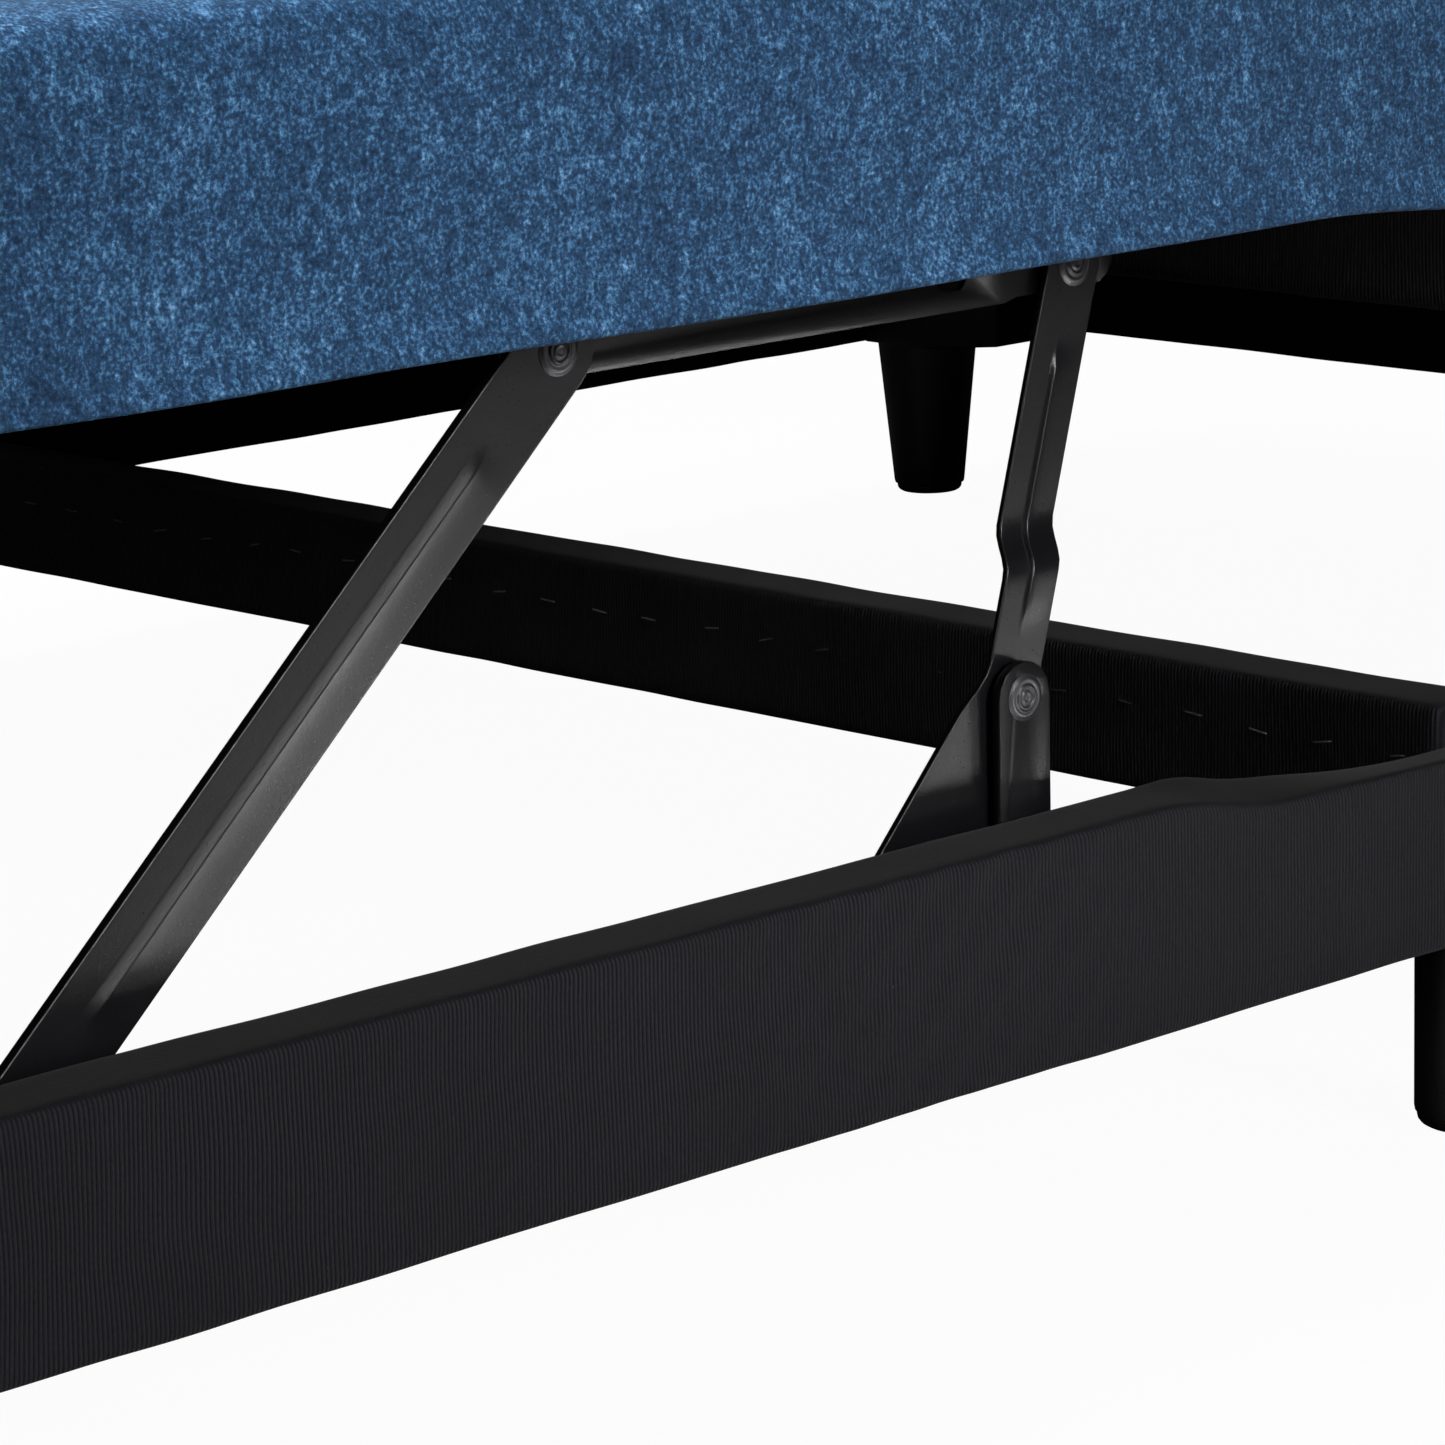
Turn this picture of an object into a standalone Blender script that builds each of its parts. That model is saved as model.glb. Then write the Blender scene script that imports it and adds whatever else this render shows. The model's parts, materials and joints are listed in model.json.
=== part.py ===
"""Adjustable bed base: a fixed head half and a foot half whose deck lifts on two four-bar linkages.

Axes: X runs from the foot end (-X) to the head end (+X), Y across the bed, Z up from the floor.
The origin is on the floor under the middle of the base.
"""
import math

import bmesh
import bpy
from mathutils import Vector

# Overall
BASE_LENGTH = 2.0            # outer face of the foot end rail to outer face of the head end rail
BASE_WIDTH = 1.35            # over the side rails
LIFT_FRAME_LENGTH = 0.951    # the lift frame's share of the length, at the foot end
FRAME_GAP = 0.005            # between the lift frame and the head frame
SEAT_GAP = 0.0003            # left between pieces that touch

# Lift frame
RAIL_THICKNESS = 0.035
RAIL_HEIGHT = 0.090
CROSS_RAIL_HEIGHT = 0.060
CROSS_RAIL_INSET = 0.034     # cross rail's head-side face to the end of the side rails
RAIL_EDGE = 0.004
FRONT_LEG_HEIGHT = 0.097
FRONT_LEG_RADIUS = 0.025
FRONT_LEG_FROM_END = 0.037   # leg axis to the end of the side rail
FRONT_LEG_FROM_SIDE = 0.041  # leg axis to the side rail's outer face
LEG_BLOCK_LENGTH = 0.069
FOOT_BLOCK_LENGTH = 0.050
LEG_BLOCK_WIDTH = 0.055

# Head frame
HEAD_RAIL_THICKNESS = 0.033
HEAD_END_RAIL_THICKNESS = 0.035
HEAD_FRONT_RAIL_HEIGHT = 0.060
HEAD_LEG_HEIGHT = 0.110
HEAD_LEG_TOP_RADIUS = 0.035
HEAD_LEG_FOOT_RADIUS = 0.024
HEAD_LEG_FROM_END = 0.112
HEAD_LEG_FROM_SIDE = 0.048
CORNER_BLOCK_LENGTH = 0.125  # along the side rail, over the leg
CORNER_BLOCK_WIDTH = 0.095
CORNER_BLOCK_CUT = 0.035     # cut off its free corner
CORNER_BLOCK_HEIGHT = 0.120
LEG_FOOT_ROUNDING = 0.004
JOIN_PLATE_LENGTH = 0.120
JOIN_PLATE_HEIGHT = 0.042
JOIN_PLATE_THICKNESS = 0.003
JOIN_PLATE_FROM_CROSS_RAIL = 0.001
JOIN_PLATE_RAISE = 0.004     # plate's lower edge above the cross rail's underside
HEAD_RAIL_UNDER_HEM = 0.006  # top of the head rails below the velvet's hem

# Decks
DECK_OVERHANG = 0.005        # velvet outside the rails' faces
DECK_SPLIT_GAP = 0.006       # between the two decks
COVER_THICKNESS = 0.012
COVER_HEIGHT = 0.130
COVER_EDGE_RADIUS = 0.018
PAD_THICKNESS = 0.041        # velvet and wadding over the panel
PANEL_THICKNESS = 0.015
DECK_BOARD_THICKNESS = 0.018
BOARD_ABOVE_HEM = 0.004
RIB_WIDTH = 0.040
RIB_DEPTH = 0.060
DECK_ABOVE_PIVOT = 0.0114    # hem of the velvet above the two top pivots

# Linkage, in the plane of the side rail. Heights are above the lift frame's underside.
ARM_PIVOT_FROM_FOOT = 0.1225
ARM_PIVOT_RISE = 0.0423
ARM_REACH = 0.2815           # along X, fixed pivot to deck pivot
CRANK_PIVOT_FROM_FOOT = 0.632
CRANK_PIVOT_RISE = 0.1365
DECK_PIVOT_RISE = 0.2976
CRANK_LEAN = 0.0474          # along X, fixed pivot to deck pivot
ARM_WIDTH = 0.034
CRANK_WIDTH = 0.0287
CRANK_PLATE_RADIUS = 0.0186
STRUT_PIN_BACK = 0.080       # strut pin behind the crank's fixed pivot
STRUT_PIN_DROP = 0.0835
CRANK_TOE_BACK = 0.006
CRANK_TOE_DROP = 0.0825
STRUT_ANCHOR_FROM_ARM = 0.0835
STRUT_ANCHOR_DROP = 0.0193
LINK_THICKNESS = 0.003
LIP_DEPTH = 0.0045
BEAD_RADIUS = 0.0055
BEAD_HEIGHT = 0.0015
ARM_BEAD_SPAN = (0.245, 0.86)    # shares of the length between the pivots
ARM_LIP_SPAN = (0.10, 0.93)
CRANK_BEAD_SPAN = (0.47, 0.80)
LIP_OVERLAP = 0.001              # how far the lip starts inside the strap

# Layers across the bed, as distances in from the side rail's outer face
GROUND_PLATE_INNER = RAIL_THICKNESS + 0.0045
GROUND_PLATE_THICKNESS = 0.004
ARM_LAYER = GROUND_PLATE_INNER + 0.003
COUPLER_LAYER = ARM_LAYER + 0.004
CRANK_TOP_LAYER = ARM_LAYER + 0.008
COUPLER_END_LAYER = ARM_LAYER + 0.012
STRUT_LAYER = ARM_LAYER + 0.0150

TAB_RADIUS = 0.014
STRIP_BOTTOM = 0.008         # ground plate's lower edge above the frame's underside
STRIP_TOP = 0.066
STRIP_BEYOND_PIVOT = 0.030
STRIP_CORNER_RADIUS = 0.010
SCREW_HOLE_RADIUS = 0.0025
SCREW_HOLE_SHARES = (0.38, 0.58, 0.78)   # places of the screw holes along the strip
COUPLER_DROP = 0.0106        # coupler's lower edge below the top pivots
COUPLER_FLANGE = 0.0385
COUPLER_BEYOND_ARM = 0.022
COUPLER_BEYOND_CRANK = 0.026
COUPLER_SLOT_FROM_CRANK = 0.0727
COUPLER_SLOT_RADIUS = 0.005
COUPLER_SLOT_HALF = 0.003        # half the distance between the slot's round ends
COUPLER_SLOT_RISE = 0.002        # slot's middle above the pivots
COUPLER_CORNER_RADIUS = 0.012
JOGGLE_RISE = 0.048              # where the crank steps inwards, above its fixed pivot
JOGGLE_RUN = 0.015

PIVOT_RADIUS = 0.004
PIVOT_CLEARANCE = 0.0005
HEAD_RADIUS = 0.008
HEAD_HEIGHT = 0.0010
OUTER_DOME = ((0.45, 1.0), (0.85, 0.7), (1.0, 0.3))   # shares of a head's radius and height
INNER_DOME = ((1.0, 0.6), (0.7, 1.0))
STUD_COLLAR_RADIUS = 0.006
STUD_COLLAR_WIDTH = 0.0015
STRUT_BARREL_RADIUS = 0.009
STRUT_ROD_RADIUS = 0.004
STRUT_BORE_CLEARANCE = 0.0005
STRUT_BARREL_LENGTH = 0.200
STRUT_ROD_ENGAGED = 0.110
STRUT_BORE_SPARE = 0.020         # bore below the rod's end at rest
STRUT_NECK_RADIUS = 0.0045
STRUT_NECK_START = 0.007         # from the socket's middle
STRUT_NECK_END = 0.018
STRUT_SHOULDER = 0.022
STRUT_SOCKET_RADIUS = 0.009
STRUT_SOCKET_WIDTH = 0.012
STOP_RADIUS = 0.005

# Sizes of the cutters, and how finely round things are drawn
CUT_MARGIN = 0.01
SLAB_OVERRUN = 0.1
SLAB_DEPTH = 1.0
TURN_STEPS = 16
BARREL_STEPS = 20
LEG_STEPS = 28
ARC_POINTS = 8
CORNER_POINTS = 4
FOOT_POINTS = 3
WRAP_POINTS = 32
COVER_EDGE_SEGMENTS = 4

# Places that follow from the sizes above
foot_x = -BASE_LENGTH / 2
head_x = BASE_LENGTH / 2
half_width = BASE_WIDTH / 2
lift_end_x = foot_x + LIFT_FRAME_LENGTH
head_start_x = lift_end_x + FRAME_GAP
lift_rail_z = FRONT_LEG_HEIGHT + SEAT_GAP
lift_rail_top = lift_rail_z + RAIL_HEIGHT
head_rail_z = HEAD_LEG_HEIGHT + SEAT_GAP
arm_pivot = (foot_x + ARM_PIVOT_FROM_FOOT, FRONT_LEG_HEIGHT + ARM_PIVOT_RISE)
deck_pivot = (arm_pivot[0] + ARM_REACH, FRONT_LEG_HEIGHT + DECK_PIVOT_RISE)
crank_pivot = (foot_x + CRANK_PIVOT_FROM_FOOT, FRONT_LEG_HEIGHT + CRANK_PIVOT_RISE)
crank_top = (crank_pivot[0] + CRANK_LEAN, deck_pivot[1])
strut_pin = (crank_pivot[0] - STRUT_PIN_BACK, crank_pivot[1] - STRUT_PIN_DROP)
crank_toe = (crank_pivot[0] - CRANK_TOE_BACK, crank_pivot[1] - CRANK_TOE_DROP)
strut_anchor = (arm_pivot[0] + STRUT_ANCHOR_FROM_ARM, arm_pivot[1] - STRUT_ANCHOR_DROP)
hem_z = deck_pivot[1] + DECK_ABOVE_PIVOT
cover_top = hem_z + COVER_HEIGHT
panel_top = cover_top - PAD_THICKNESS
panel_z = panel_top - PANEL_THICKNESS
board_z = hem_z + BOARD_ABOVE_HEM
head_rail_top = hem_z - HEAD_RAIL_UNDER_HEM
split_x = lift_end_x + FRAME_GAP / 2

STEEL = ("black_steel", (0.045, 0.043, 0.048), 0.38, 0.6)
RIVET_STEEL = ("rivet_steel", (0.05, 0.048, 0.053), 0.32, 0.8)
BLACK_FABRIC = ("black_fabric", (0.022, 0.021, 0.026), 0.9, 0.0)
VELVET = ("blue_velvet", (0.02, 0.06, 0.14), 0.85, 0.0)
LEG_PLASTIC = ("black_leg", (0.008, 0.008, 0.009), 0.45, 0.0)
TIMBER = ("raw_timber", (0.50, 0.36, 0.21), 0.7, 0.0)
PLYWOOD = ("plywood", (0.58, 0.43, 0.27), 0.65, 0.0)
ROD_STEEL = ("rod_steel", (0.55, 0.55, 0.56), 0.2, 1.0)

STAND_XZ = (math.radians(90), 0, 0)                  # outline x, y becomes world X, Z
STAND_YZ = (math.radians(90), 0, math.radians(90))   # outline x, y becomes world Y, Z


def clear_scene():
    for old in list(bpy.data.objects):
        bpy.data.objects.remove(old, do_unlink=True)


def new_collection(name):
    collection = bpy.data.collections.new(name)
    bpy.context.scene.collection.children.link(collection)
    return collection


def material_for(finish):
    name, colour, roughness, metallic = finish
    material = bpy.data.materials.get(name)
    if material is None:
        material = bpy.data.materials.new(name)
        material.use_nodes = True
        shader = material.node_tree.nodes["Principled BSDF"]
        shader.inputs["Base Color"].default_value = (*colour, 1)
        shader.inputs["Roughness"].default_value = roughness
        shader.inputs["Metallic"].default_value = metallic
        material.diffuse_color = (*colour, 1)
    return material


def place(name, mesh, finish, location=(0, 0, 0), rotation=(0, 0, 0)):
    """A part, or a cutter when there is no finish."""
    thing = bpy.data.objects.new(name, mesh)
    thing.location = location
    thing.rotation_euler = rotation
    if finish is None:
        cutters.objects.link(thing)
        thing.hide_render = True
        thing.display_type = "WIRE"
    else:
        parts.objects.link(thing)
        mesh.materials.append(material_for(finish))
    return thing


def depth_y(side, depth):
    """World Y of a distance in from the outer face of a side rail; side is -1 near, +1 far."""
    return side * (half_width - depth)


def side_name(name, side):
    return name + ("_near" if side < 0 else "_far")


def bevel(thing, width, segments=2):
    modifier = thing.modifiers.new("edges", "BEVEL")
    modifier.width = width
    modifier.segments = segments
    modifier.limit_method = "ANGLE"
    modifier.angle_limit = math.radians(40)
    return modifier


def box(name, low, high, finish, edge=0.0, segments=2):
    size = [b - a for a, b in zip(low, high)]
    mesh = bpy.data.meshes.new(name)
    shape = bmesh.new()
    bmesh.ops.create_cube(shape, size=1)
    bmesh.ops.scale(shape, vec=size, verts=shape.verts)
    shape.to_mesh(mesh)
    shape.free()
    thing = place(name, mesh, finish, [(a + b) / 2 for a, b in zip(low, high)])
    if edge:
        bevel(thing, edge, segments)
    return thing


def rail(name, x_range, y_range, z_range, finish, edge=0.0):
    """A box from three ranges, each in either order."""
    ranges = [sorted(pair) for pair in (x_range, y_range, z_range)]
    return box(name, [pair[0] for pair in ranges], [pair[1] for pair in ranges], finish, edge)


def arc(centre, radius, start, end, count=ARC_POINTS):
    """Points on an arc, angles in degrees."""
    points = []
    for step in range(count + 1):
        angle = math.radians(start + (end - start) * step / count)
        points.append((centre[0] + radius * math.cos(angle), centre[1] + radius * math.sin(angle)))
    return points


def circle(centre, radius, count=TURN_STEPS):
    return arc(centre, radius, 0, 360, count)[:-1]


def wrap(circles, count=WRAP_POINTS):
    """The outline of a belt pulled tight round some circles, each (centre, radius)."""
    points = sorted({(round(x, 7), round(y, 7)) for centre, radius in circles
                     for x, y in circle(centre, radius, count)})

    def half(ordered):
        chain = []
        for point in ordered:
            while len(chain) > 1 and turn(chain[-2], chain[-1], point) <= 1e-10:
                chain.pop()
            chain.append(point)
        return chain[:-1]

    return half(points) + half(points[::-1])


def turn(a, b, c):
    return (b[0] - a[0]) * (c[1] - a[1]) - (b[1] - a[1]) * (c[0] - a[0])


def outline_mesh(name, outlines, thickness):
    """A flat shape as a 2D curve, outer outline first and holes after it, turned into a mesh."""
    curve = bpy.data.curves.new(name, "CURVE")
    curve.dimensions = "2D"
    curve.fill_mode = "BOTH"
    curve.extrude = thickness / 2
    for outline in outlines:
        spline = curve.splines.new("POLY")
        spline.points.add(len(outline) - 1)
        for point, (x, y) in zip(spline.points, outline):
            point.co = (x, y, 0, 1)
        spline.use_cyclic_u = True
    holder = bpy.data.objects.new(name + "_outline", curve)
    cutters.objects.link(holder)
    evaluated = holder.evaluated_get(bpy.context.evaluated_depsgraph_get())
    mesh = bpy.data.meshes.new_from_object(evaluated)
    bpy.data.objects.remove(holder, do_unlink=True)
    bpy.data.curves.remove(curve)
    shape = bmesh.new()
    shape.from_mesh(mesh)
    bmesh.ops.remove_doubles(shape, verts=shape.verts, dist=0.00001)
    bmesh.ops.recalc_face_normals(shape, faces=shape.faces)
    shape.to_mesh(mesh)
    shape.free()
    mesh.name = name
    return mesh


def upright_plate(name, outlines, side, depth, thickness, finish):
    """A plate in the linkage's plane, from a depth inwards."""
    mesh = outline_mesh(name, outlines, thickness)
    return place(name, mesh, finish, (0, depth_y(side, depth + thickness / 2), 0), STAND_XZ)


def combine(thing, other, operation):
    modifier = thing.modifiers.new(operation.lower(), "BOOLEAN")
    modifier.operation = operation
    modifier.solver = "EXACT"
    modifier.object = other
    return modifier


def turned(name, profile, finish, location=(0, 0, 0), rotation=(0, 0, 0), steps=TURN_STEPS):
    """A profile of (radius, height) points, top to bottom, spun about its own Z."""
    mesh = bpy.data.meshes.new(name)
    points = [(radius, 0, height) for radius, height in profile]
    mesh.from_pydata(points, [(i, i + 1) for i in range(len(points) - 1)], [])
    thing = place(name, mesh, finish, location, rotation)
    screw = thing.modifiers.new("turn", "SCREW")
    screw.steps = steps
    screw.render_steps = steps
    screw.use_merge_vertices = True
    screw.merge_threshold = 0.00001
    screw.use_smooth_shade = True
    return thing


def cross_pin(name, profile, side, centre, finish):
    """A turned piece across the bed, from (radius, depth) points given from outside inwards."""
    spin = (math.radians(90 * side), 0, 0)
    location = (centre[0], side * half_width, centre[1])
    return turned(name, profile[::-1], finish, location, spin)


def rivet(name, side, centre, start, end, collars=(), outer_head=True, inner_head=True):
    """A rivet from one depth to another, with wider collars (from, to, radius) on its shank."""
    if outer_head:
        profile = [(0, start - HEAD_HEIGHT)]
        profile += [(HEAD_RADIUS * wide, start - HEAD_HEIGHT * high) for wide, high in OUTER_DOME]
        profile += [(HEAD_RADIUS, start - SEAT_GAP), (PIVOT_RADIUS, start - SEAT_GAP)]
    else:
        profile = [(0, start), (PIVOT_RADIUS, start)]
    for low, high, radius in collars:
        profile += [(PIVOT_RADIUS, low), (radius, low), (radius, high), (PIVOT_RADIUS, high)]
    if inner_head:
        profile += [(PIVOT_RADIUS, end + SEAT_GAP), (HEAD_RADIUS, end + SEAT_GAP)]
        profile += [(HEAD_RADIUS * wide, end + HEAD_HEIGHT * high) for wide, high in INNER_DOME]
        profile += [(0, end + HEAD_HEIGHT)]
    else:
        profile += [(PIVOT_RADIUS, end), (0, end)]
    return cross_pin(name, profile, side, centre, RIVET_STEEL)


def hang_on(pivot, name, things):
    """Parents pieces to an empty that stands on their joint's axis."""
    holder = bpy.data.objects.new(name, None)
    parts.objects.link(holder)
    holder.location = (pivot[0], 0, pivot[1])
    for thing in things:
        thing.location = Vector(thing.location) - Vector(holder.location)
        thing.parent = holder
    return holder


# Fixed frame

def lift_frame():
    cross_x = lift_end_x - CROSS_RAIL_INSET
    inner_half = half_width - RAIL_THICKNESS - SEAT_GAP
    for side in (-1, 1):
        rail(side_name("foot_side_rail", side), (foot_x, lift_end_x),
             (depth_y(side, 0), depth_y(side, RAIL_THICKNESS)),
             (lift_rail_z, lift_rail_top), BLACK_FABRIC, RAIL_EDGE)
    rail("foot_end_rail", (foot_x, foot_x + RAIL_THICKNESS), (-inner_half, inner_half),
         (lift_rail_z, lift_rail_top), BLACK_FABRIC, RAIL_EDGE)
    rail("lift_cross_rail", (cross_x - RAIL_THICKNESS, cross_x), (-inner_half, inner_half),
         (lift_rail_top - CROSS_RAIL_HEIGHT, lift_rail_top), BLACK_FABRIC, RAIL_EDGE)
    block_top = lift_rail_top - CROSS_RAIL_HEIGHT - SEAT_GAP
    foot_block_x = foot_x + RAIL_THICKNESS + SEAT_GAP
    for side in (-1, 1):
        block_y = (depth_y(side, RAIL_THICKNESS + SEAT_GAP),
                   depth_y(side, RAIL_THICKNESS + LEG_BLOCK_WIDTH))
        rail(side_name("leg_block_middle", side), (lift_end_x - LEG_BLOCK_LENGTH, lift_end_x),
             block_y, (lift_rail_z, block_top), TIMBER)
        rail(side_name("leg_block_foot", side), (foot_block_x, foot_block_x + FOOT_BLOCK_LENGTH),
             block_y, (lift_rail_z, block_top), TIMBER)
        for place_name, leg_x in (("foot", foot_x + FRONT_LEG_FROM_END),
                                  ("middle", lift_end_x - FRONT_LEG_FROM_END)):
            profile = [(0, FRONT_LEG_HEIGHT), (FRONT_LEG_RADIUS, FRONT_LEG_HEIGHT)]
            profile += arc((FRONT_LEG_RADIUS - LEG_FOOT_ROUNDING, LEG_FOOT_ROUNDING),
                           LEG_FOOT_ROUNDING, 0, -90, FOOT_POINTS)
            profile += [(0, 0)]
            turned(side_name("leg_" + place_name, side), profile, LEG_PLASTIC,
                   (leg_x, depth_y(side, FRONT_LEG_FROM_SIDE), 0), steps=LEG_STEPS)


def head_frame():
    inner_half = half_width - HEAD_RAIL_THICKNESS - SEAT_GAP
    for side in (-1, 1):
        rail(side_name("head_side_rail", side), (head_start_x, head_x),
             (depth_y(side, 0), depth_y(side, HEAD_RAIL_THICKNESS)),
             (head_rail_z, head_rail_top), BLACK_FABRIC, RAIL_EDGE)
    rail("head_end_rail", (head_x - HEAD_END_RAIL_THICKNESS, head_x), (-inner_half, inner_half),
         (head_rail_z, head_rail_top), BLACK_FABRIC, RAIL_EDGE)
    rail("head_front_rail", (head_start_x, head_start_x + RAIL_THICKNESS),
         (-inner_half, inner_half), (head_rail_top - HEAD_FRONT_RAIL_HEIGHT, head_rail_top),
         BLACK_FABRIC, RAIL_EDGE)
    for side in (-1, 1):
        corner_x = head_x - HEAD_END_RAIL_THICKNESS - SEAT_GAP
        corner_y = depth_y(side, HEAD_RAIL_THICKNESS + SEAT_GAP)
        block_x = corner_x - CORNER_BLOCK_LENGTH
        block_y = corner_y - side * CORNER_BLOCK_WIDTH
        outline = [(corner_x, corner_y), (block_x, corner_y),
                   (block_x, block_y + side * CORNER_BLOCK_CUT),
                   (block_x + CORNER_BLOCK_CUT, block_y), (corner_x, block_y)]
        block_z = head_rail_z + CORNER_BLOCK_HEIGHT / 2
        place(side_name("head_corner_block", side),
              outline_mesh("corner_block", [outline], CORNER_BLOCK_HEIGHT), LEG_PLASTIC,
              (0, 0, block_z))
        profile = [(0, HEAD_LEG_HEIGHT), (HEAD_LEG_TOP_RADIUS, HEAD_LEG_HEIGHT)]
        profile += arc((HEAD_LEG_FOOT_RADIUS - LEG_FOOT_ROUNDING, LEG_FOOT_ROUNDING),
                       LEG_FOOT_ROUNDING, 0, -90, FOOT_POINTS)
        profile += [(0, 0)]
        turned(side_name("leg_head", side), profile, LEG_PLASTIC,
               (head_x - HEAD_LEG_FROM_END, depth_y(side, HEAD_LEG_FROM_SIDE), 0),
               steps=LEG_STEPS)
        plate_start = lift_end_x - CROSS_RAIL_INSET + JOIN_PLATE_FROM_CROSS_RAIL
        plate_z = lift_rail_top - CROSS_RAIL_HEIGHT + JOIN_PLATE_RAISE
        face = max(RAIL_THICKNESS, HEAD_RAIL_THICKNESS) + SEAT_GAP
        rail(side_name("join_plate", side), (plate_start, plate_start + JOIN_PLATE_LENGTH),
             (depth_y(side, face), depth_y(side, face + JOIN_PLATE_THICKNESS)),
             (plate_z, plate_z + JOIN_PLATE_HEIGHT), STEEL)


# Decks

def deck(name, x_start, x_end, boards_from):
    """A timber frame, a panel and a centre rib inside a velvet cover that is open underneath."""
    outer_half = half_width + DECK_OVERHANG
    inside = COVER_THICKNESS + SEAT_GAP
    low = (x_start + inside, -outer_half + inside)
    high = (x_end - inside, outer_half - inside)
    below = hem_z - 2 * COVER_EDGE_RADIUS
    cover = box(name + "_velvet_cover", (x_start, -outer_half, below),
                (x_end, outer_half, cover_top), VELVET, COVER_EDGE_RADIUS, COVER_EDGE_SEGMENTS)
    hollow = box(name + "_hollow",
                 (x_start + COVER_THICKNESS, -outer_half + COVER_THICKNESS, below - PANEL_THICKNESS),
                 (x_end - COVER_THICKNESS, outer_half - COVER_THICKNESS, panel_top + SEAT_GAP),
                 None)
    base_cut = box(name + "_hem_cut", (x_start - COVER_THICKNESS, -half_width * 2, below * 0.5),
                   (x_end + COVER_THICKNESS, half_width * 2, hem_z), None)
    combine(cover, base_cut, "DIFFERENCE")
    combine(cover, hollow, "DIFFERENCE")
    outer = [low, (high[0], low[1]), high, (low[0], high[1])]
    board = DECK_BOARD_THICKNESS
    inner = [(low[0] + board, low[1] + board), (high[0] - board, low[1] + board),
             (high[0] - board, high[1] - board), (low[0] + board, high[1] - board)]
    board_top = panel_z - SEAT_GAP
    frame = place(name + "_timber_frame",
                  outline_mesh(name + "_frame", [outer, inner], board_top - boards_from),
                  TIMBER, (0, 0, (board_top + boards_from) / 2))
    panel = box(name + "_panel", (*low, panel_z), (*high, panel_top), PLYWOOD)
    rib = box(name + "_centre_rib",
              (low[0] + board + SEAT_GAP, -RIB_WIDTH / 2, board_top - RIB_DEPTH),
              (high[0] - board - SEAT_GAP, RIB_WIDTH / 2, board_top), TIMBER)
    return [cover, frame, panel, rib]


# Linkage

def along(start, end, distance, offset=0.0):
    """A point some way from start towards end, moved sideways to the left by offset."""
    length = math.dist(start, end)
    ux, uz = (end[0] - start[0]) / length, (end[1] - start[1]) / length
    return (start[0] + ux * distance - uz * offset, start[1] + uz * distance + ux * offset)


def ground_plate(side):
    left = arm_pivot[0] - STRIP_BEYOND_PIVOT
    right = crank_pivot[0] + TAB_RADIUS
    tab_left = crank_pivot[0] - TAB_RADIUS
    low = FRONT_LEG_HEIGHT + STRIP_BOTTOM
    high = FRONT_LEG_HEIGHT + STRIP_TOP
    corner = STRIP_CORNER_RADIUS
    outline = [(left, low), (right, low)]
    outline += arc(crank_pivot, TAB_RADIUS, 0, 180)
    outline += [(tab_left, high)]
    outline += arc((left + corner, high - corner), corner, 90, 180, CORNER_POINTS)
    hole = PIVOT_RADIUS + SEAT_GAP
    holes = [circle(centre, hole) for centre in (arm_pivot, crank_pivot, strut_anchor)]
    strip_middle = (low + high) / 2
    holes += [circle((left + (right - left) * share, strip_middle), SCREW_HOLE_RADIUS)
              for share in SCREW_HOLE_SHARES]
    upright_plate(side_name("ground_plate", side), [outline, *holes], side,
                  GROUND_PLATE_INNER - GROUND_PLATE_THICKNESS, GROUND_PLATE_THICKNESS, STEEL)
    plate_outer = GROUND_PLATE_INNER - GROUND_PLATE_THICKNESS
    collar = (GROUND_PLATE_INNER + SEAT_GAP, ARM_LAYER - SEAT_GAP, HEAD_RADIUS)
    rivet(side_name("arm_pivot_rivet", side), side, arm_pivot, plate_outer,
          ARM_LAYER + LINK_THICKNESS, [collar], outer_head=False)
    rivet(side_name("crank_pivot_rivet", side), side, crank_pivot, plate_outer,
          ARM_LAYER + LINK_THICKNESS, [collar])
    socket_face = STRUT_LAYER - STRUT_SOCKET_WIDTH / 2 - SEAT_GAP
    collar = (GROUND_PLATE_INNER + SEAT_GAP, ARM_LAYER, STUD_COLLAR_RADIUS)
    rivet(side_name("strut_anchor_stud", side), side, strut_anchor, plate_outer, socket_face,
          [collar], outer_head=False, inner_head=False)
    stop = along(strut_pin, crank_pivot, 0, CRANK_PLATE_RADIUS + STOP_RADIUS + SEAT_GAP)
    depths = (GROUND_PLATE_INNER + SEAT_GAP, ARM_LAYER + LINK_THICKNESS)
    profile = [(0, depths[0]), (STOP_RADIUS, depths[0]), (STOP_RADIUS, depths[1]), (0, depths[1])]
    cross_pin(side_name("flat_stop", side), profile, side, stop, RIVET_STEEL)


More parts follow.
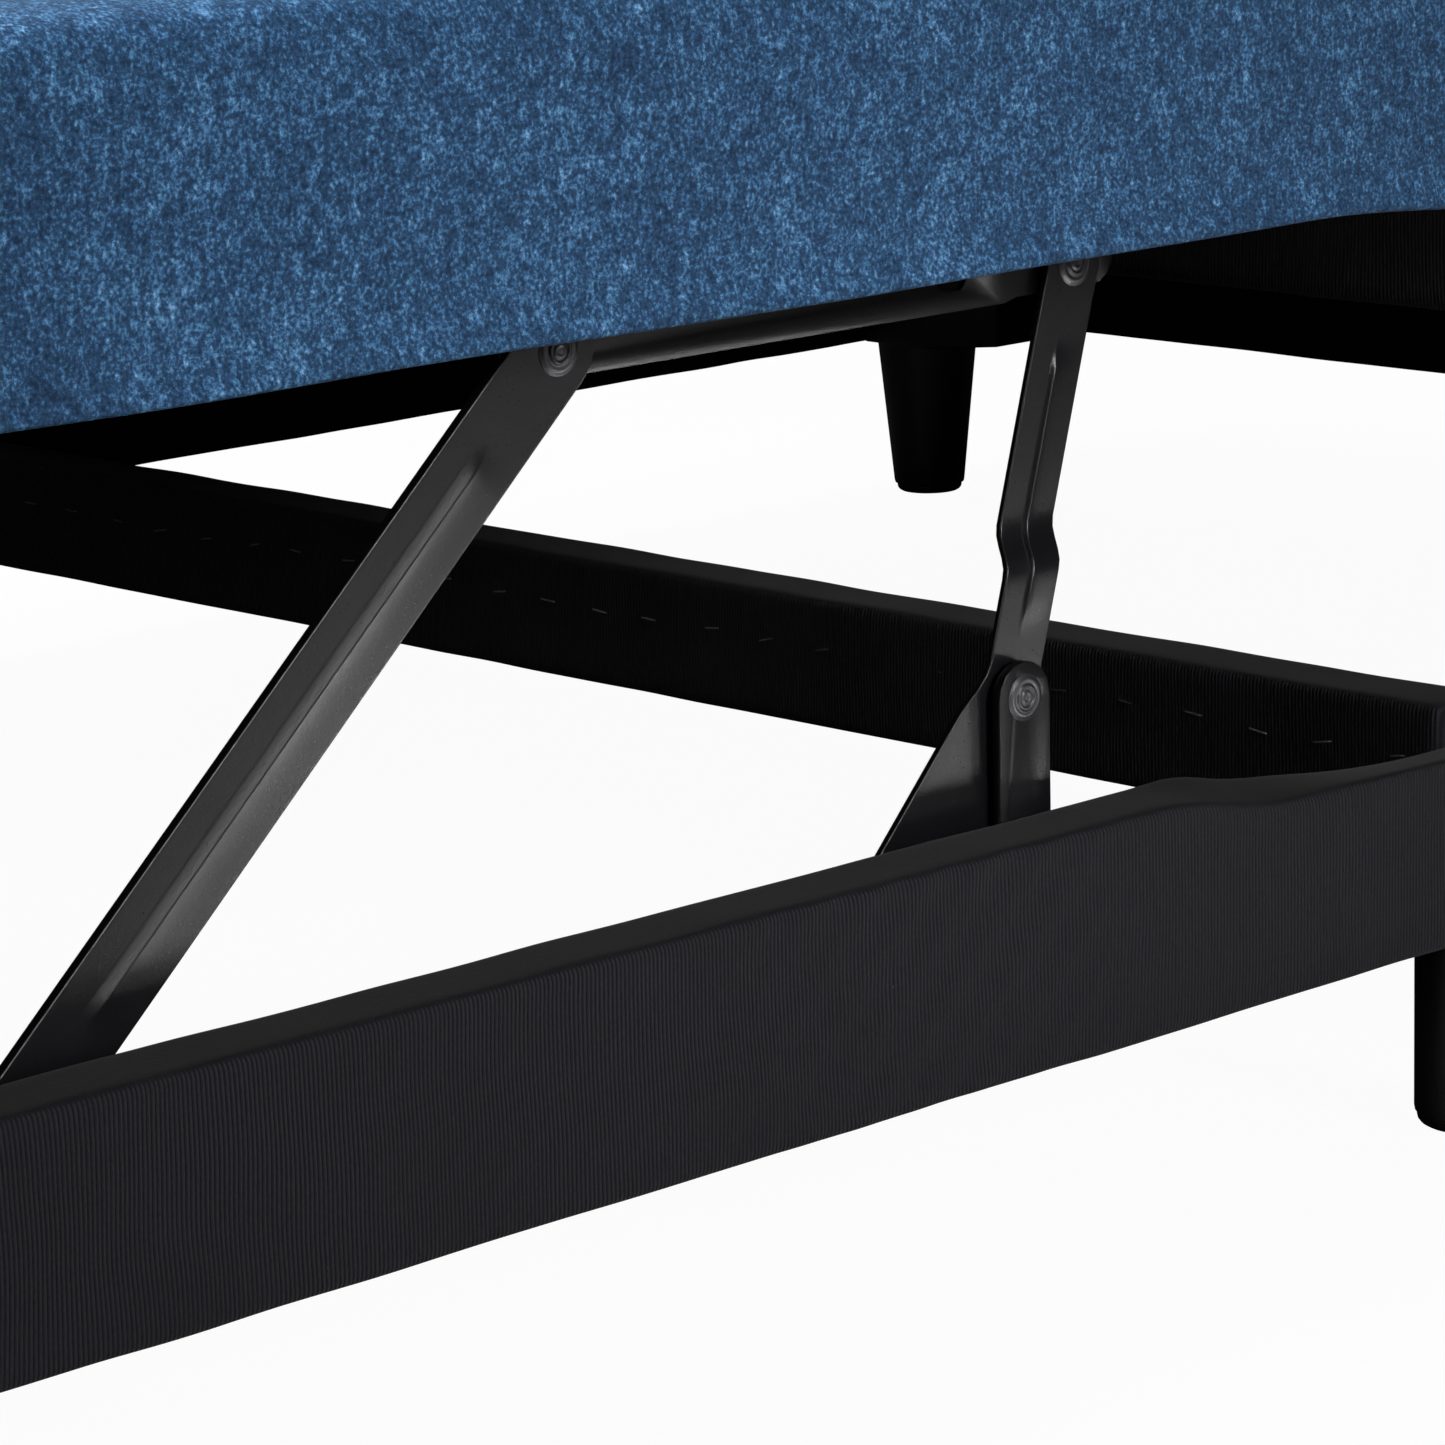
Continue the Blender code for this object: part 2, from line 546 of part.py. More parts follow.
def long_arm(side):
    half = ARM_WIDTH / 2
    length = math.dist(arm_pivot, deck_pivot)
    holes = [circle(centre, PIVOT_RADIUS + PIVOT_CLEARANCE) for centre in (arm_pivot, deck_pivot)]
    arm = upright_plate(side_name("long_arm", side),
                        [wrap([(arm_pivot, half), (deck_pivot, half)]), *holes],
                        side, ARM_LAYER, LINK_THICKNESS, STEEL)
    bead_ends = [(along(arm_pivot, deck_pivot, length * share), BEAD_RADIUS)
                 for share in ARM_BEAD_SPAN]
    bead = upright_plate(side_name("arm_bead", side), [wrap(bead_ends)], side,
                         ARM_LAYER - BEAD_HEIGHT, LINK_THICKNESS, None)
    lip_inside = half - LINK_THICKNESS
    lip_start, lip_end = ARM_LIP_SPAN
    lip_outline = [along(arm_pivot, deck_pivot, length * share, offset)
                   for share, offset in ((lip_start, half), (lip_end, half),
                                         (lip_end, lip_inside), (lip_start, lip_inside))]
    lip = upright_plate(side_name("arm_lip", side), [lip_outline], side,
                        ARM_LAYER + LIP_OVERLAP, LIP_DEPTH - LIP_OVERLAP, None)
    combine(arm, bead, "UNION")
    combine(arm, lip, "UNION")
    pin = rivet(side_name("arm_deck_rivet", side), side, deck_pivot, ARM_LAYER,
                COUPLER_LAYER + LINK_THICKNESS)
    hang_on(arm_pivot, side_name("long_arm_axis", side), [arm, pin])


def stepped_strip(side, axis_points, depth_low, depth_high, across):
    """A thin strip that steps from one depth to another, as an outline in (across, depth) order."""
    start, step_start, step_end, end = axis_points
    low = [(start, depth_low), (step_start, depth_low), (step_end, depth_high), (end, depth_high)]
    strip = low + [(place_on, depth + LINK_THICKNESS) for place_on, depth in reversed(low)]
    if across == "Z":
        return [(depth_y(side, depth), height) for height, depth in strip]
    return [(along_x, depth_y(side, depth)) for along_x, depth in strip]


def crank(side):
    half = CRANK_WIDTH / 2
    thick = CRANK_TOP_LAYER - ARM_LAYER + 3 * LINK_THICKNESS
    depth = ARM_LAYER - LINK_THICKNESS
    plate_circles = [(centre, CRANK_PLATE_RADIUS) for centre in (crank_pivot, strut_pin, crank_toe)]
    plate = upright_plate(side_name("crank", side), [wrap(plate_circles)], side, depth, thick,
                          STEEL)
    arm = upright_plate(side_name("crank_arm", side),
                        [wrap([(crank_pivot, half), (crank_top, half)])], side, depth, thick, None)
    step_z = crank_pivot[1] + JOGGLE_RISE
    strip = stepped_strip(side, (crank_toe[1] - SLAB_OVERRUN, step_z, step_z + JOGGLE_RUN,
                                 crank_top[1] + SLAB_OVERRUN), ARM_LAYER, CRANK_TOP_LAYER, "Z")
    slab = place(side_name("crank_slab", side), outline_mesh("slab", [strip], SLAB_DEPTH), None,
                 (crank_pivot[0], 0, 0), STAND_YZ)
    combine(plate, arm, "UNION")
    combine(plate, slab, "INTERSECT")
    length = math.dist(crank_pivot, crank_top)
    bead_ends = [(along(crank_pivot, crank_top, length * share), BEAD_RADIUS)
                 for share in CRANK_BEAD_SPAN]
    bead = upright_plate(side_name("crank_bead", side), [wrap(bead_ends)], side,
                         CRANK_TOP_LAYER - BEAD_HEIGHT, LINK_THICKNESS, None)
    combine(plate, bead, "UNION")
    for label, centre in (("pivot", crank_pivot), ("top", crank_top), ("strut", strut_pin)):
        cutter = upright_plate(side_name("crank_hole_" + label, side),
                               [circle(centre, PIVOT_RADIUS + PIVOT_CLEARANCE)], side,
                               depth - CUT_MARGIN, thick + 2 * CUT_MARGIN, None)
        combine(plate, cutter, "DIFFERENCE")
    top_rivet = rivet(side_name("crank_deck_rivet", side), side, crank_top, CRANK_TOP_LAYER,
                      CRANK_TOP_LAYER + LINK_THICKNESS, inner_head=False)
    inner_face = ARM_LAYER + LINK_THICKNESS + SEAT_GAP
    socket_face = STRUT_LAYER - STRUT_SOCKET_WIDTH / 2 - SEAT_GAP
    stud = rivet(side_name("strut_crank_stud", side), side, strut_pin, ARM_LAYER, socket_face,
                 [(inner_face, inner_face + STUD_COLLAR_WIDTH, STUD_COLLAR_RADIUS)],
                 inner_head=False)
    hang_on(crank_pivot, side_name("crank_axis", side), [plate, top_rivet, stud])


def coupler(side):
    left = deck_pivot[0] - COUPLER_BEYOND_ARM
    right = crank_top[0] + COUPLER_BEYOND_CRANK
    low = deck_pivot[1] - COUPLER_DROP
    high = panel_z - SEAT_GAP
    corner = COUPLER_CORNER_RADIUS
    outline = arc((left + corner, low + corner), corner, 180, 270, CORNER_POINTS)
    outline += arc((right - corner, low + corner), corner, 270, 360, CORNER_POINTS)
    outline += [(right, high), (left, high)]
    slot_x = crank_top[0] - COUPLER_SLOT_FROM_CRANK
    slot_z = deck_pivot[1] + COUPLER_SLOT_RISE
    slot = wrap([((slot_x - COUPLER_SLOT_HALF, slot_z), COUPLER_SLOT_RADIUS),
                 ((slot_x + COUPLER_SLOT_HALF, slot_z), COUPLER_SLOT_RADIUS)])
    hole = PIVOT_RADIUS + PIVOT_CLEARANCE
    depth = COUPLER_LAYER - LINK_THICKNESS
    thick = COUPLER_END_LAYER - COUPLER_LAYER + 3 * LINK_THICKNESS
    web = upright_plate(side_name("coupler", side),
                        [outline, slot, circle(deck_pivot, hole), circle(crank_top, hole)],
                        side, depth, thick, STEEL)
    step_x = crank_top[0] - CRANK_WIDTH - JOGGLE_RUN
    strip = stepped_strip(side, (left - SLAB_OVERRUN, step_x, step_x + JOGGLE_RUN,
                                 right + SLAB_OVERRUN), COUPLER_LAYER, COUPLER_END_LAYER, "X")
    slab = place(side_name("coupler_slab", side), outline_mesh("slab", [strip], SLAB_DEPTH), None,
                 (0, 0, high))
    flange = rail(side_name("coupler_flange", side), (left, right),
                  (depth_y(side, COUPLER_LAYER), depth_y(side, COUPLER_LAYER + COUPLER_FLANGE)),
                  (high - LINK_THICKNESS, high), None)
    combine(web, slab, "INTERSECT")
    combine(web, flange, "UNION")
    end_rivet = rivet(side_name("coupler_end_rivet", side), side, crank_top, COUPLER_END_LAYER,
                      COUPLER_END_LAYER + LINK_THICKNESS, outer_head=False)
    return [web, end_rivet]


def strut(side):
    """A gas strut: a barrel on the ground plate and a rod on the crank."""
    angle = math.atan2(strut_pin[1] - strut_anchor[1], strut_pin[0] - strut_anchor[0])
    reach = math.dist(strut_anchor, strut_pin)
    lean = (0, math.radians(90) - angle, 0)
    y = depth_y(side, STRUT_LAYER)
    bore = STRUT_ROD_RADIUS + STRUT_BORE_CLEARANCE
    barrel_end = STRUT_BARREL_LENGTH
    bore_floor = barrel_end - STRUT_ROD_ENGAGED - STRUT_BORE_SPARE
    profile = [(0, bore_floor), (bore, bore_floor), (bore, barrel_end),
               (STRUT_BARREL_RADIUS, barrel_end), (STRUT_BARREL_RADIUS, STRUT_SHOULDER),
               (STRUT_NECK_RADIUS, STRUT_NECK_END), (STRUT_NECK_RADIUS, STRUT_NECK_START),
               (0, STRUT_NECK_START)]
    barrel = turned(side_name("strut_barrel", side), profile, STEEL,
                    (strut_anchor[0], y, strut_anchor[1]), lean, steps=BARREL_STEPS)
    socket_depth = STRUT_LAYER - STRUT_SOCKET_WIDTH / 2
    anchor_socket = upright_plate(side_name("anchor_socket", side),
                                  [circle(strut_anchor, STRUT_SOCKET_RADIUS)],
                                  side, socket_depth, STRUT_SOCKET_WIDTH, None)
    combine(barrel, anchor_socket, "UNION")
    rod_start = barrel_end - STRUT_ROD_ENGAGED
    rod_end = reach - STRUT_NECK_START
    profile = [(0, rod_end), (STRUT_ROD_RADIUS, rod_end),
               (STRUT_ROD_RADIUS, rod_start), (0, rod_start)]
    rod = turned(side_name("strut_rod", side), profile, ROD_STEEL,
                 (strut_anchor[0], y, strut_anchor[1]), lean)
    crank_socket = upright_plate(side_name("crank_socket", side),
                                 [circle(strut_pin, STRUT_SOCKET_RADIUS)],
                                 side, socket_depth, STRUT_SOCKET_WIDTH, None)
    combine(rod, crank_socket, "UNION")
    hang_on(strut_anchor, side_name("strut_axis", side), [barrel, rod])


clear_scene()
parts = new_collection("adjustable_bed_base")
cutters = new_collection("cutters")
lift_frame()
head_frame()
deck("head_deck", split_x + DECK_SPLIT_GAP / 2, head_x + DECK_OVERHANG,
     head_rail_top + SEAT_GAP)
moving_deck = deck("lift_deck", foot_x - DECK_OVERHANG, split_x - DECK_SPLIT_GAP / 2, board_z)
for bed_side in (-1, 1):
    ground_plate(bed_side)
    long_arm(bed_side)
    crank(bed_side)
    moving_deck += coupler(bed_side)
    strut(bed_side)
hang_on(deck_pivot, "deck_axis", moving_deck)
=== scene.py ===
import json
import math

import bmesh
import bpy
import numpy as np
from mathutils import Matrix, Vector, noise

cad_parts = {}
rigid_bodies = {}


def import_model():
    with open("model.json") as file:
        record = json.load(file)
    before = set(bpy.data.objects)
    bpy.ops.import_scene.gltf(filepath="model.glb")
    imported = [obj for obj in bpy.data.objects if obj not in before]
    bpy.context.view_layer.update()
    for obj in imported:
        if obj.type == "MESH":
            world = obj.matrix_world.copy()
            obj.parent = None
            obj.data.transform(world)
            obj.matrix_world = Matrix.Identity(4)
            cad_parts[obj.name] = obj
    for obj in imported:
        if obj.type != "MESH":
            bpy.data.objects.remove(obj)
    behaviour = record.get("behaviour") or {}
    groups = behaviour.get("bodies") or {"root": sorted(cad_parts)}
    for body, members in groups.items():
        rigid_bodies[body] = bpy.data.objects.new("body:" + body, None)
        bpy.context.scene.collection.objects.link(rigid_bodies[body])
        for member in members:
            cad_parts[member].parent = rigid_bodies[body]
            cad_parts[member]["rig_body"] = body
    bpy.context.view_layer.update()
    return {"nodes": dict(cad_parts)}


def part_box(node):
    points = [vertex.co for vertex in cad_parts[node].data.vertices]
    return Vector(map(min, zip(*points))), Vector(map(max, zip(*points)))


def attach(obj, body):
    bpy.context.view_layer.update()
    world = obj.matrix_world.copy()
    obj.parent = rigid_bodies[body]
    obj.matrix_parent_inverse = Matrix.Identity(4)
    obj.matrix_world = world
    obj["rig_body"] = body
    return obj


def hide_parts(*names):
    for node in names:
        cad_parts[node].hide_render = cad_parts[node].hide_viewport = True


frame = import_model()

print("bed base: the frame is in")

sides = {"near": -1, "far": 1}
proud = 0.0001   # how far staples and heads stand clear of the face they sit on


def middle(node):
    low, high = (Vector(c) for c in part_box(node))
    return (low + high) / 2


def blend01(value, start, end):   # 0 before start, 1 after end, smooth between
    t = min(1.0, max(0.0, (value - start) / (end - start)))
    return t * t * (3 - 2 * t)


def bumpAt(value, start, end, ramp):
    return blend01(value, start, start + ramp) * (1 - blend01(value, end - ramp, end))


def meshFrom(name, shape, smoothAngle=35):
    bmesh.ops.recalc_face_normals(shape, faces=shape.faces)
    mesh = bpy.data.meshes.new(name)
    shape.to_mesh(mesh)
    shape.free()
    mesh.shade_smooth()
    if smoothAngle:
        mesh.set_sharp_from_angle(angle=math.radians(smoothAngle))
    return mesh


def asObject(name, mesh):
    thing = bpy.data.objects.new(name, mesh)
    bpy.context.scene.collection.objects.link(thing)
    return thing


def bake(thing):   # leaves the object as its modifiers show it, as a plain mesh
    evaluated = thing.evaluated_get(bpy.context.evaluated_depsgraph_get())
    mesh = bpy.data.meshes.new_from_object(evaluated)
    thing.modifiers.clear()
    thing.data = mesh
    return thing


def finishPiece(thing, material, body, nodes=()):
    thing.data.materials.clear()
    thing.data.materials.append(material)
    for face in thing.data.polygons:
        face.material_index = 0
    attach(thing, body)
    if nodes:
        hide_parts(*nodes)
    return thing


class materialNodes:   # short calls for a material's nodes

    def __init__(self, name):
        self.material = bpy.data.materials.new(name)
        self.material.use_nodes = True
        self.tree = self.material.node_tree
        self.shader = self.tree.nodes["Principled BSDF"]

    def add(self, kind, settings=None, **inputs):
        node = self.tree.nodes.new(kind)
        for key, value in (settings or {}).items():
            setattr(node, key, value)
        for key, value in inputs.items():
            self.feed(node.inputs[key.replace("_", " ")], value)
        return node

    def feed(self, socket, value):
        if isinstance(value, bpy.types.NodeSocket):
            self.tree.links.new(value, socket)
        else:
            socket.default_value = value

    def place(self, scale=(1, 1, 1)):
        spot = self.add("ShaderNodeTexCoord").outputs["Object"]
        mapping = self.add("ShaderNodeMapping", Vector=spot, Scale=scale)
        return mapping.outputs["Vector"]

    def noise(self, scale, detail=2.0, roughness=0.5, where=None, distortion=0.0):
        node = self.add("ShaderNodeTexNoise", Scale=scale, Detail=detail,
                        Roughness=roughness, Distortion=distortion)
        if where is not None:
            self.feed(node.inputs["Vector"], where)
        return node.outputs["Fac"]

    def math(self, operation, first, second=0.0, third=0.0, clamp=False):
        node = self.add("ShaderNodeMath", {"operation": operation, "use_clamp": clamp})
        for socket, value in zip(node.inputs, (first, second, third)):
            self.feed(socket, value)
        return node.outputs[0]

    def ramp(self, value, *stops):
        node = self.add("ShaderNodeValToRGB", Fac=value)
        while len(node.color_ramp.elements) < len(stops):
            node.color_ramp.elements.new(0.5)
        for element, (position, colour) in zip(node.color_ramp.elements, stops):
            element.position = position
            element.color = (*colour, 1) if len(colour) == 3 else colour
        return node.outputs["Color"]

    def range(self, value, low, high, toLow, toHigh):
        node = self.add("ShaderNodeMapRange", Value=value)
        for key, number in (("From Min", low), ("From Max", high), ("To Min", toLow),
                            ("To Max", toHigh)):
            node.inputs[key].default_value = number
        return node.outputs["Result"]

    def mix(self, factor, first, second):
        node = self.add("ShaderNodeMix", {"data_type": "RGBA"})
        self.feed(node.inputs["Factor"], factor)
        for key, value in (("A", first), ("B", second)):
            self.feed(node.inputs[key], (*value, 1) if isinstance(value, tuple) else value)
        return node.outputs["Result"]

    def facing(self):   # 1 on level faces, 0 on upright ones
        normal = self.add("ShaderNodeNewGeometry").outputs["Normal"]
        height = self.add("ShaderNodeSeparateXYZ", Vector=normal).outputs["Z"]
        return self.math("ABSOLUTE", height)

    def bump(self, height, strength, distance):
        node = self.add("ShaderNodeBump", Strength=strength, Distance=distance, Height=height)
        self.tree.links.new(node.outputs["Normal"], self.shader.inputs["Normal"])

    def surface(self, **inputs):
        for key, value in inputs.items():
            self.feed(self.shader.inputs[key.replace("_", " ")], value)
        return self.material


velvetLook = {   # pile colours from dark to bright, the brightest (tip) being painted glints on the pile tips and the rest the velvet's mottled tone, then noise scales from fine to broad
    "deep": (0.0095, 0.034, 0.083), "mid": (0.0255, 0.086, 0.190), "light": (0.100, 0.270, 0.52),
    "tip": (0.32, 0.57, 0.84), "fleck": 640.0, "clump": 165.0, "patch": 30.0, "cloud": 5.5,
    "sheen": (0.24, 0.52, 0.95, 1)}


def velvetMaterial():
    look = velvetLook
    n = materialNodes("blueVelvet")
    where = n.place()
    fleck = n.noise(look["fleck"], 3.0, 0.65, where)
    weave = n.noise(look["fleck"] * 0.45, 2.0, 0.6, n.place((1, 1, 0.45)))
    clump = n.noise(look["clump"], 4.0, 0.66, where, 0.2)
    patch = n.noise(look["patch"], 5.0, 0.62, n.place((1, 1, 0.8)), 0.2)
    cloud = n.noise(look["cloud"], 2.0, 0.5, where)
    pile = n.range(fleck, 0.25, 0.75, -0.36, 0.36)
    for layer, *span in ((weave, 0.25, 0.75, -0.13, 0.13), (clump, 0.25, 0.75, -0.17, 0.17),
                         (patch, 0.3, 0.72, -0.08, 0.09), (cloud, 0.3, 0.7, 0.46, 0.53)):
        pile = n.math("ADD", pile, n.range(layer, *span))
    # the top stop paints sparse bright glints where the pile noise peaks; the lower stops are the velvet's random
    # mottled tone
    colour = n.ramp(pile, (0.20, look["deep"]), (0.52, look["mid"]), (0.76, look["light"]),
                    (0.95, look["tip"]))
    n.bump(n.math("ADD", fleck, n.math("MULTIPLY", clump, 0.6)), 0.40, 0.0009)
    return n.surface(Base_Color=colour, Roughness=n.range(fleck, 0.3, 0.7, 0.95, 0.7),
                     Sheen_Weight=0.18, Sheen_Roughness=0.35, Sheen_Tint=look["sheen"],
                     Specular_IOR_Level=0.22)


# ridge is the fabric's own colour; groove is painted shade in the grooves between ribs, and it also darkens random
# yarn and the nap
ribLook = {"pitch": 0.00195, "sway": 0.0045, "ridge": (0.028, 0.0265, 0.034), "groove": (0.0065, 0.006, 0.0085),
           # the level top's nap colour is painted darker than the ribs as shade under the deck
           "shadedFelt": (0.0085, 0.0080, 0.0105), "worn": (0.012, 0.0115, 0.015), "lint": (0.22, 0.22, 0.24)}


def ribbedMaterial(name, axis):   # fine upright ribs one after another along an axis, painted darker in their grooves as shade, with a felt-like top painted darker than the sides as shade
    look = ribLook
    n = materialNodes(name)
    where = n.place()
    spot = n.add("ShaderNodeSeparateXYZ", Vector=where).outputs[axis]
    sway = n.range(n.noise(9.0, 2.0, 0.5, where), 0, 1, -look["sway"], look["sway"])
    phase = n.math("MULTIPLY", n.math("ADD", spot, sway), 2 * math.pi / look["pitch"])
    wave = n.range(n.math("SINE", phase), -1, 1, 0, 1)
    yarn = n.noise(1500.0, 2.0, 0.6, n.place((1, 1, 0.35)))
    nap = n.noise(620.0, 3.0, 0.65, where)
    worn = n.noise(22.0, 2.0, 0.5, where)
    flat = n.range(n.facing(), 0.55, 0.85, 0, 1)
    # the colour follows the rib bump, from the groove's painted shade up to the ridge
    shadedRibs = n.ramp(wave, (0.10, look["groove"]), (0.70, look["ridge"]))
    shadedRibs = n.mix(n.range(yarn, 0.40, 0.75, 0, 0.40), shadedRibs, look["groove"])
    # the top's nap, its colour painted dark as shade under the deck
    shadedFelt = n.ramp(nap, (0.3, look["groove"]), (0.7, look["shadedFelt"]))
    # level faces take the painted-dark napped top, upright faces the ribs
    colour = n.mix(flat, shadedRibs, shadedFelt)
    colour = n.mix(n.range(worn, 0.35, 0.75, 0, 0.22), colour, look["worn"])
    lint = n.noise(260.0, 1.0, 0.4, where)
    colour = n.mix(n.range(lint, 0.845, 0.875, 0, 0.8), colour, look["lint"])
    height = n.math("ADD", n.math("MULTIPLY", wave, n.math("SUBTRACT", 1.0, flat)),
                    n.math("MULTIPLY", n.math("ADD", yarn, nap), 0.25))
    n.bump(height, 0.8, 0.0006)
    return n.surface(Base_Color=colour, Roughness=n.range(yarn, 0.3, 0.7, 0.82, 0.98),
                     Sheen_Weight=0.06, Sheen_Roughness=0.5, Specular_IOR_Level=0.2)


steelLook = {"dark": (0.0065, 0.006, 0.0075), "light": (0.0105, 0.0098, 0.012)}


def steelMaterial(name, dark, light, shine=(0.27, 0.34)):   # fine grain, rubbed spots, faint draw lines
    n = materialNodes(name)
    where = n.place()
    grain = n.noise(1500.0, 3.0, 0.65, where)
    peel = n.noise(420.0, 2.0, 0.5, where)
    rubbed = n.noise(24.0, 4.0, 0.65, where)
    streak = n.noise(160.0, 3.0, 0.6, n.place((0.2, 1, 1)))
    colour = n.ramp(rubbed, (0.35, dark), (0.75, light))
    colour = n.mix(n.range(streak, 0.6, 0.85, 0, 0.3), colour, light)
    colour = n.mix(n.range(grain, 0.62, 0.80, 0, 0.35), colour, tuple(c * 1.9 for c in light))
    n.bump(n.math("ADD", grain, n.math("MULTIPLY", peel, 0.8)), 0.22, 0.00025)
    return n.surface(Base_Color=colour, Metallic=0.25, Specular_IOR_Level=0.5,
                     Roughness=n.range(grain, 0.3, 0.7, shine[0], shine[1]))


def rodMaterial():
    n = materialNodes("polishedRod")
    rings = n.noise(900.0, 2.0, 0.5, n.place((1, 0.2, 0.2)))
    n.bump(rings, 0.05, 0.0002)
    return n.surface(Base_Color=n.ramp(rings, (0.2, (0.42, 0.42, 0.43)), (0.8, (0.62, 0.62, 0.63))),
                     Metallic=1.0, Roughness=n.range(rings, 0.2, 0.8, 0.14, 0.26))


def legMaterial():
    n = materialNodes("blackLeg")
    where = n.place()
    grain = n.noise(700.0, 2.0, 0.5, where)
    scuff = n.noise(60.0, 4.0, 0.65, n.place((1, 1, 0.3)))
    colour = n.ramp(scuff, (0.3, (0.006, 0.006, 0.007)), (0.8, (0.017, 0.016, 0.018)))
    n.bump(grain, 0.08, 0.0002)
    return n.surface(Base_Color=colour, Roughness=n.range(scuff, 0.3, 0.7, 0.42, 0.62))


timberLook = {"pale": (0.50, 0.36, 0.21), "dark": (0.33, 0.21, 0.11)}


def timberMaterial(name, along):   # wood whose grain runs along an axis, 0 to 2
    pale, dark = timberLook["pale"], timberLook["dark"]
    n = materialNodes(name)
    squeeze = [1.0, 1.0, 1.0]
    squeeze[along] = 0.05
    where = n.place(tuple(squeeze))
    grain = n.noise(85.0, 5.0, 0.6, where, 0.8)
    pore = n.noise(700.0, 2.0, 0.6, where)
    tone = n.noise(5.0, 2.0, 0.5, n.place())
    colour = n.ramp(grain, (0.30, dark), (0.55, pale), (0.8, tuple(c * 0.86 for c in pale)))
    colour = n.mix(n.range(pore, 0.55, 0.8, 0, 0.5), colour, dark)
    colour = n.mix(n.range(tone, 0.3, 0.7, 0, 0.25), colour, dark)
    n.bump(n.math("ADD", grain, pore), 0.2, 0.0006)
    return n.surface(Base_Color=colour, Roughness=n.range(grain, 0.3, 0.7, 0.6, 0.8))


def plyMaterial():   # broad figure on the faces and thin layers on the edges
    n = materialNodes("plywoodPanel")
    figure = n.noise(18.0, 5.0, 0.6, n.place((0.08, 1, 1)), 1.2)
    face = n.ramp(figure, (0.35, (0.36, 0.24, 0.13)), (0.6, (0.52, 0.38, 0.23)),
                  (0.8, (0.44, 0.31, 0.18)))
    height = n.add("ShaderNodeSeparateXYZ", Vector=n.place()).outputs["Z"]
    ply = n.range(n.math("SINE", n.math("MULTIPLY", height, 2 * math.pi / 0.003)), -1, 1, 0, 1)
    edge = n.ramp(ply, (0.4, (0.22, 0.13, 0.07)), (0.6, (0.5, 0.36, 0.21)))
    colour = n.mix(n.range(n.facing(), 0.4, 0.8, 0, 1), edge, face)
    n.bump(figure, 0.15, 0.0006)
    return n.surface(Base_Color=colour, Roughness=n.range(figure, 0.3, 0.7, 0.55, 0.75))


looks = {
    "velvet": velvetMaterial(),
    "ribsAlongX": ribbedMaterial("ribbedFabricSides", "X"),
    "ribsAlongY": ribbedMaterial("ribbedFabricEnds", "Y"),
    "steel": steelMaterial("powderCoatedSteel", steelLook["dark"], steelLook["light"]),
    "rivet": steelMaterial("rivetSteel", (0.030, 0.028, 0.033), (0.060, 0.056, 0.064), (0.30, 0.45)),
    "zinc": steelMaterial("zincStaples", (0.30, 0.30, 0.31), (0.52, 0.52, 0.54), (0.28, 0.45)),
    "rod": rodMaterial(),
    "leg": legMaterial(),
    "timberX": timberMaterial("timberLengthwise", 0),
    "timberY": timberMaterial("timberCrosswise", 1),
    "ply": plyMaterial(),
}
print("bed base: materials are mixed")


cameraView = {"place": (-1.862, -2.0394, 0.6767), "yaw": 46.3814, "pitch": 12.4167, "roll": -1.4588,
              "lens": 136.16, "sensor": 36, "clip": (0.05, 60)}


def makeCamera():
    yaw, pitch, roll = (math.radians(cameraView[k]) for k in ("yaw", "pitch", "roll"))
    ahead = Vector((math.cos(yaw) * math.cos(pitch), math.sin(yaw) * math.cos(pitch), -math.sin(pitch)))
    level = Vector((math.sin(yaw), -math.cos(yaw), 0))
    above = level.cross(ahead)
    right = level * math.cos(roll) + above * math.sin(roll)
    up = above * math.cos(roll) - level * math.sin(roll)
    camera = bpy.data.cameras.new("camera")
    camera.lens = cameraView["lens"]
    camera.sensor_width = cameraView["sensor"]
    camera.clip_start, camera.clip_end = cameraView["clip"]
    holder = asObject("camera", camera)
    turn = Matrix((right, up, -ahead)).transposed().to_4x4()
    holder.matrix_world = Matrix.Translation(cameraView["place"]) @ turn
    bpy.context.scene.camera = holder


studio = {"ambient": 0.02, "white": 1.0, "bounce": 0.05, "shadow": 0.04, "floor": 9, "below": 0.0005}
lamps = {   # place, aim, size, watts, spread in degrees, whether it only makes highlights
    "key": ((-0.35, -4.4, 1.75), (-0.52, -0.65, 0.32), 1.1, 4.3, 31, False),
    "facet": ((0.42, -3.95, 0.5), (-1.0, -0.65, 0.28), 1.1, 0.45, 42, True),
    "glowNear": ((-0.42, -0.95, 0.004), (-0.42, -0.95, 1), 0.10, 0.5, 180, True),
    "glowMiddle": ((-0.12, -1.07, 0.004), (-0.12, -1.07, 1), 0.13, 2.3, 180, True),
    "glowFar": ((0.30, -1.12, 0.004), (0.30, -1.12, 1), 0.16, 1.6, 180, True),
    "fill": ((0.45, -1.86, 0.004), (0.45, -1.86, 1), 0.8, 2.2, 180, True),
    "sky": ((-0.9, 0.5, 3.4), (-0.7, -0.2, 0.5), 2.2, 120, 180, False),
    "rim": ((-4.2, -1.6, 1.0), (-0.5, -0.5, 0.3), 0.8, 12, 120, True),
    "back": ((1.6, 4.0, 2.6), (0.2, 0.3, 0.3), 2.5, 40, 180, False),
}


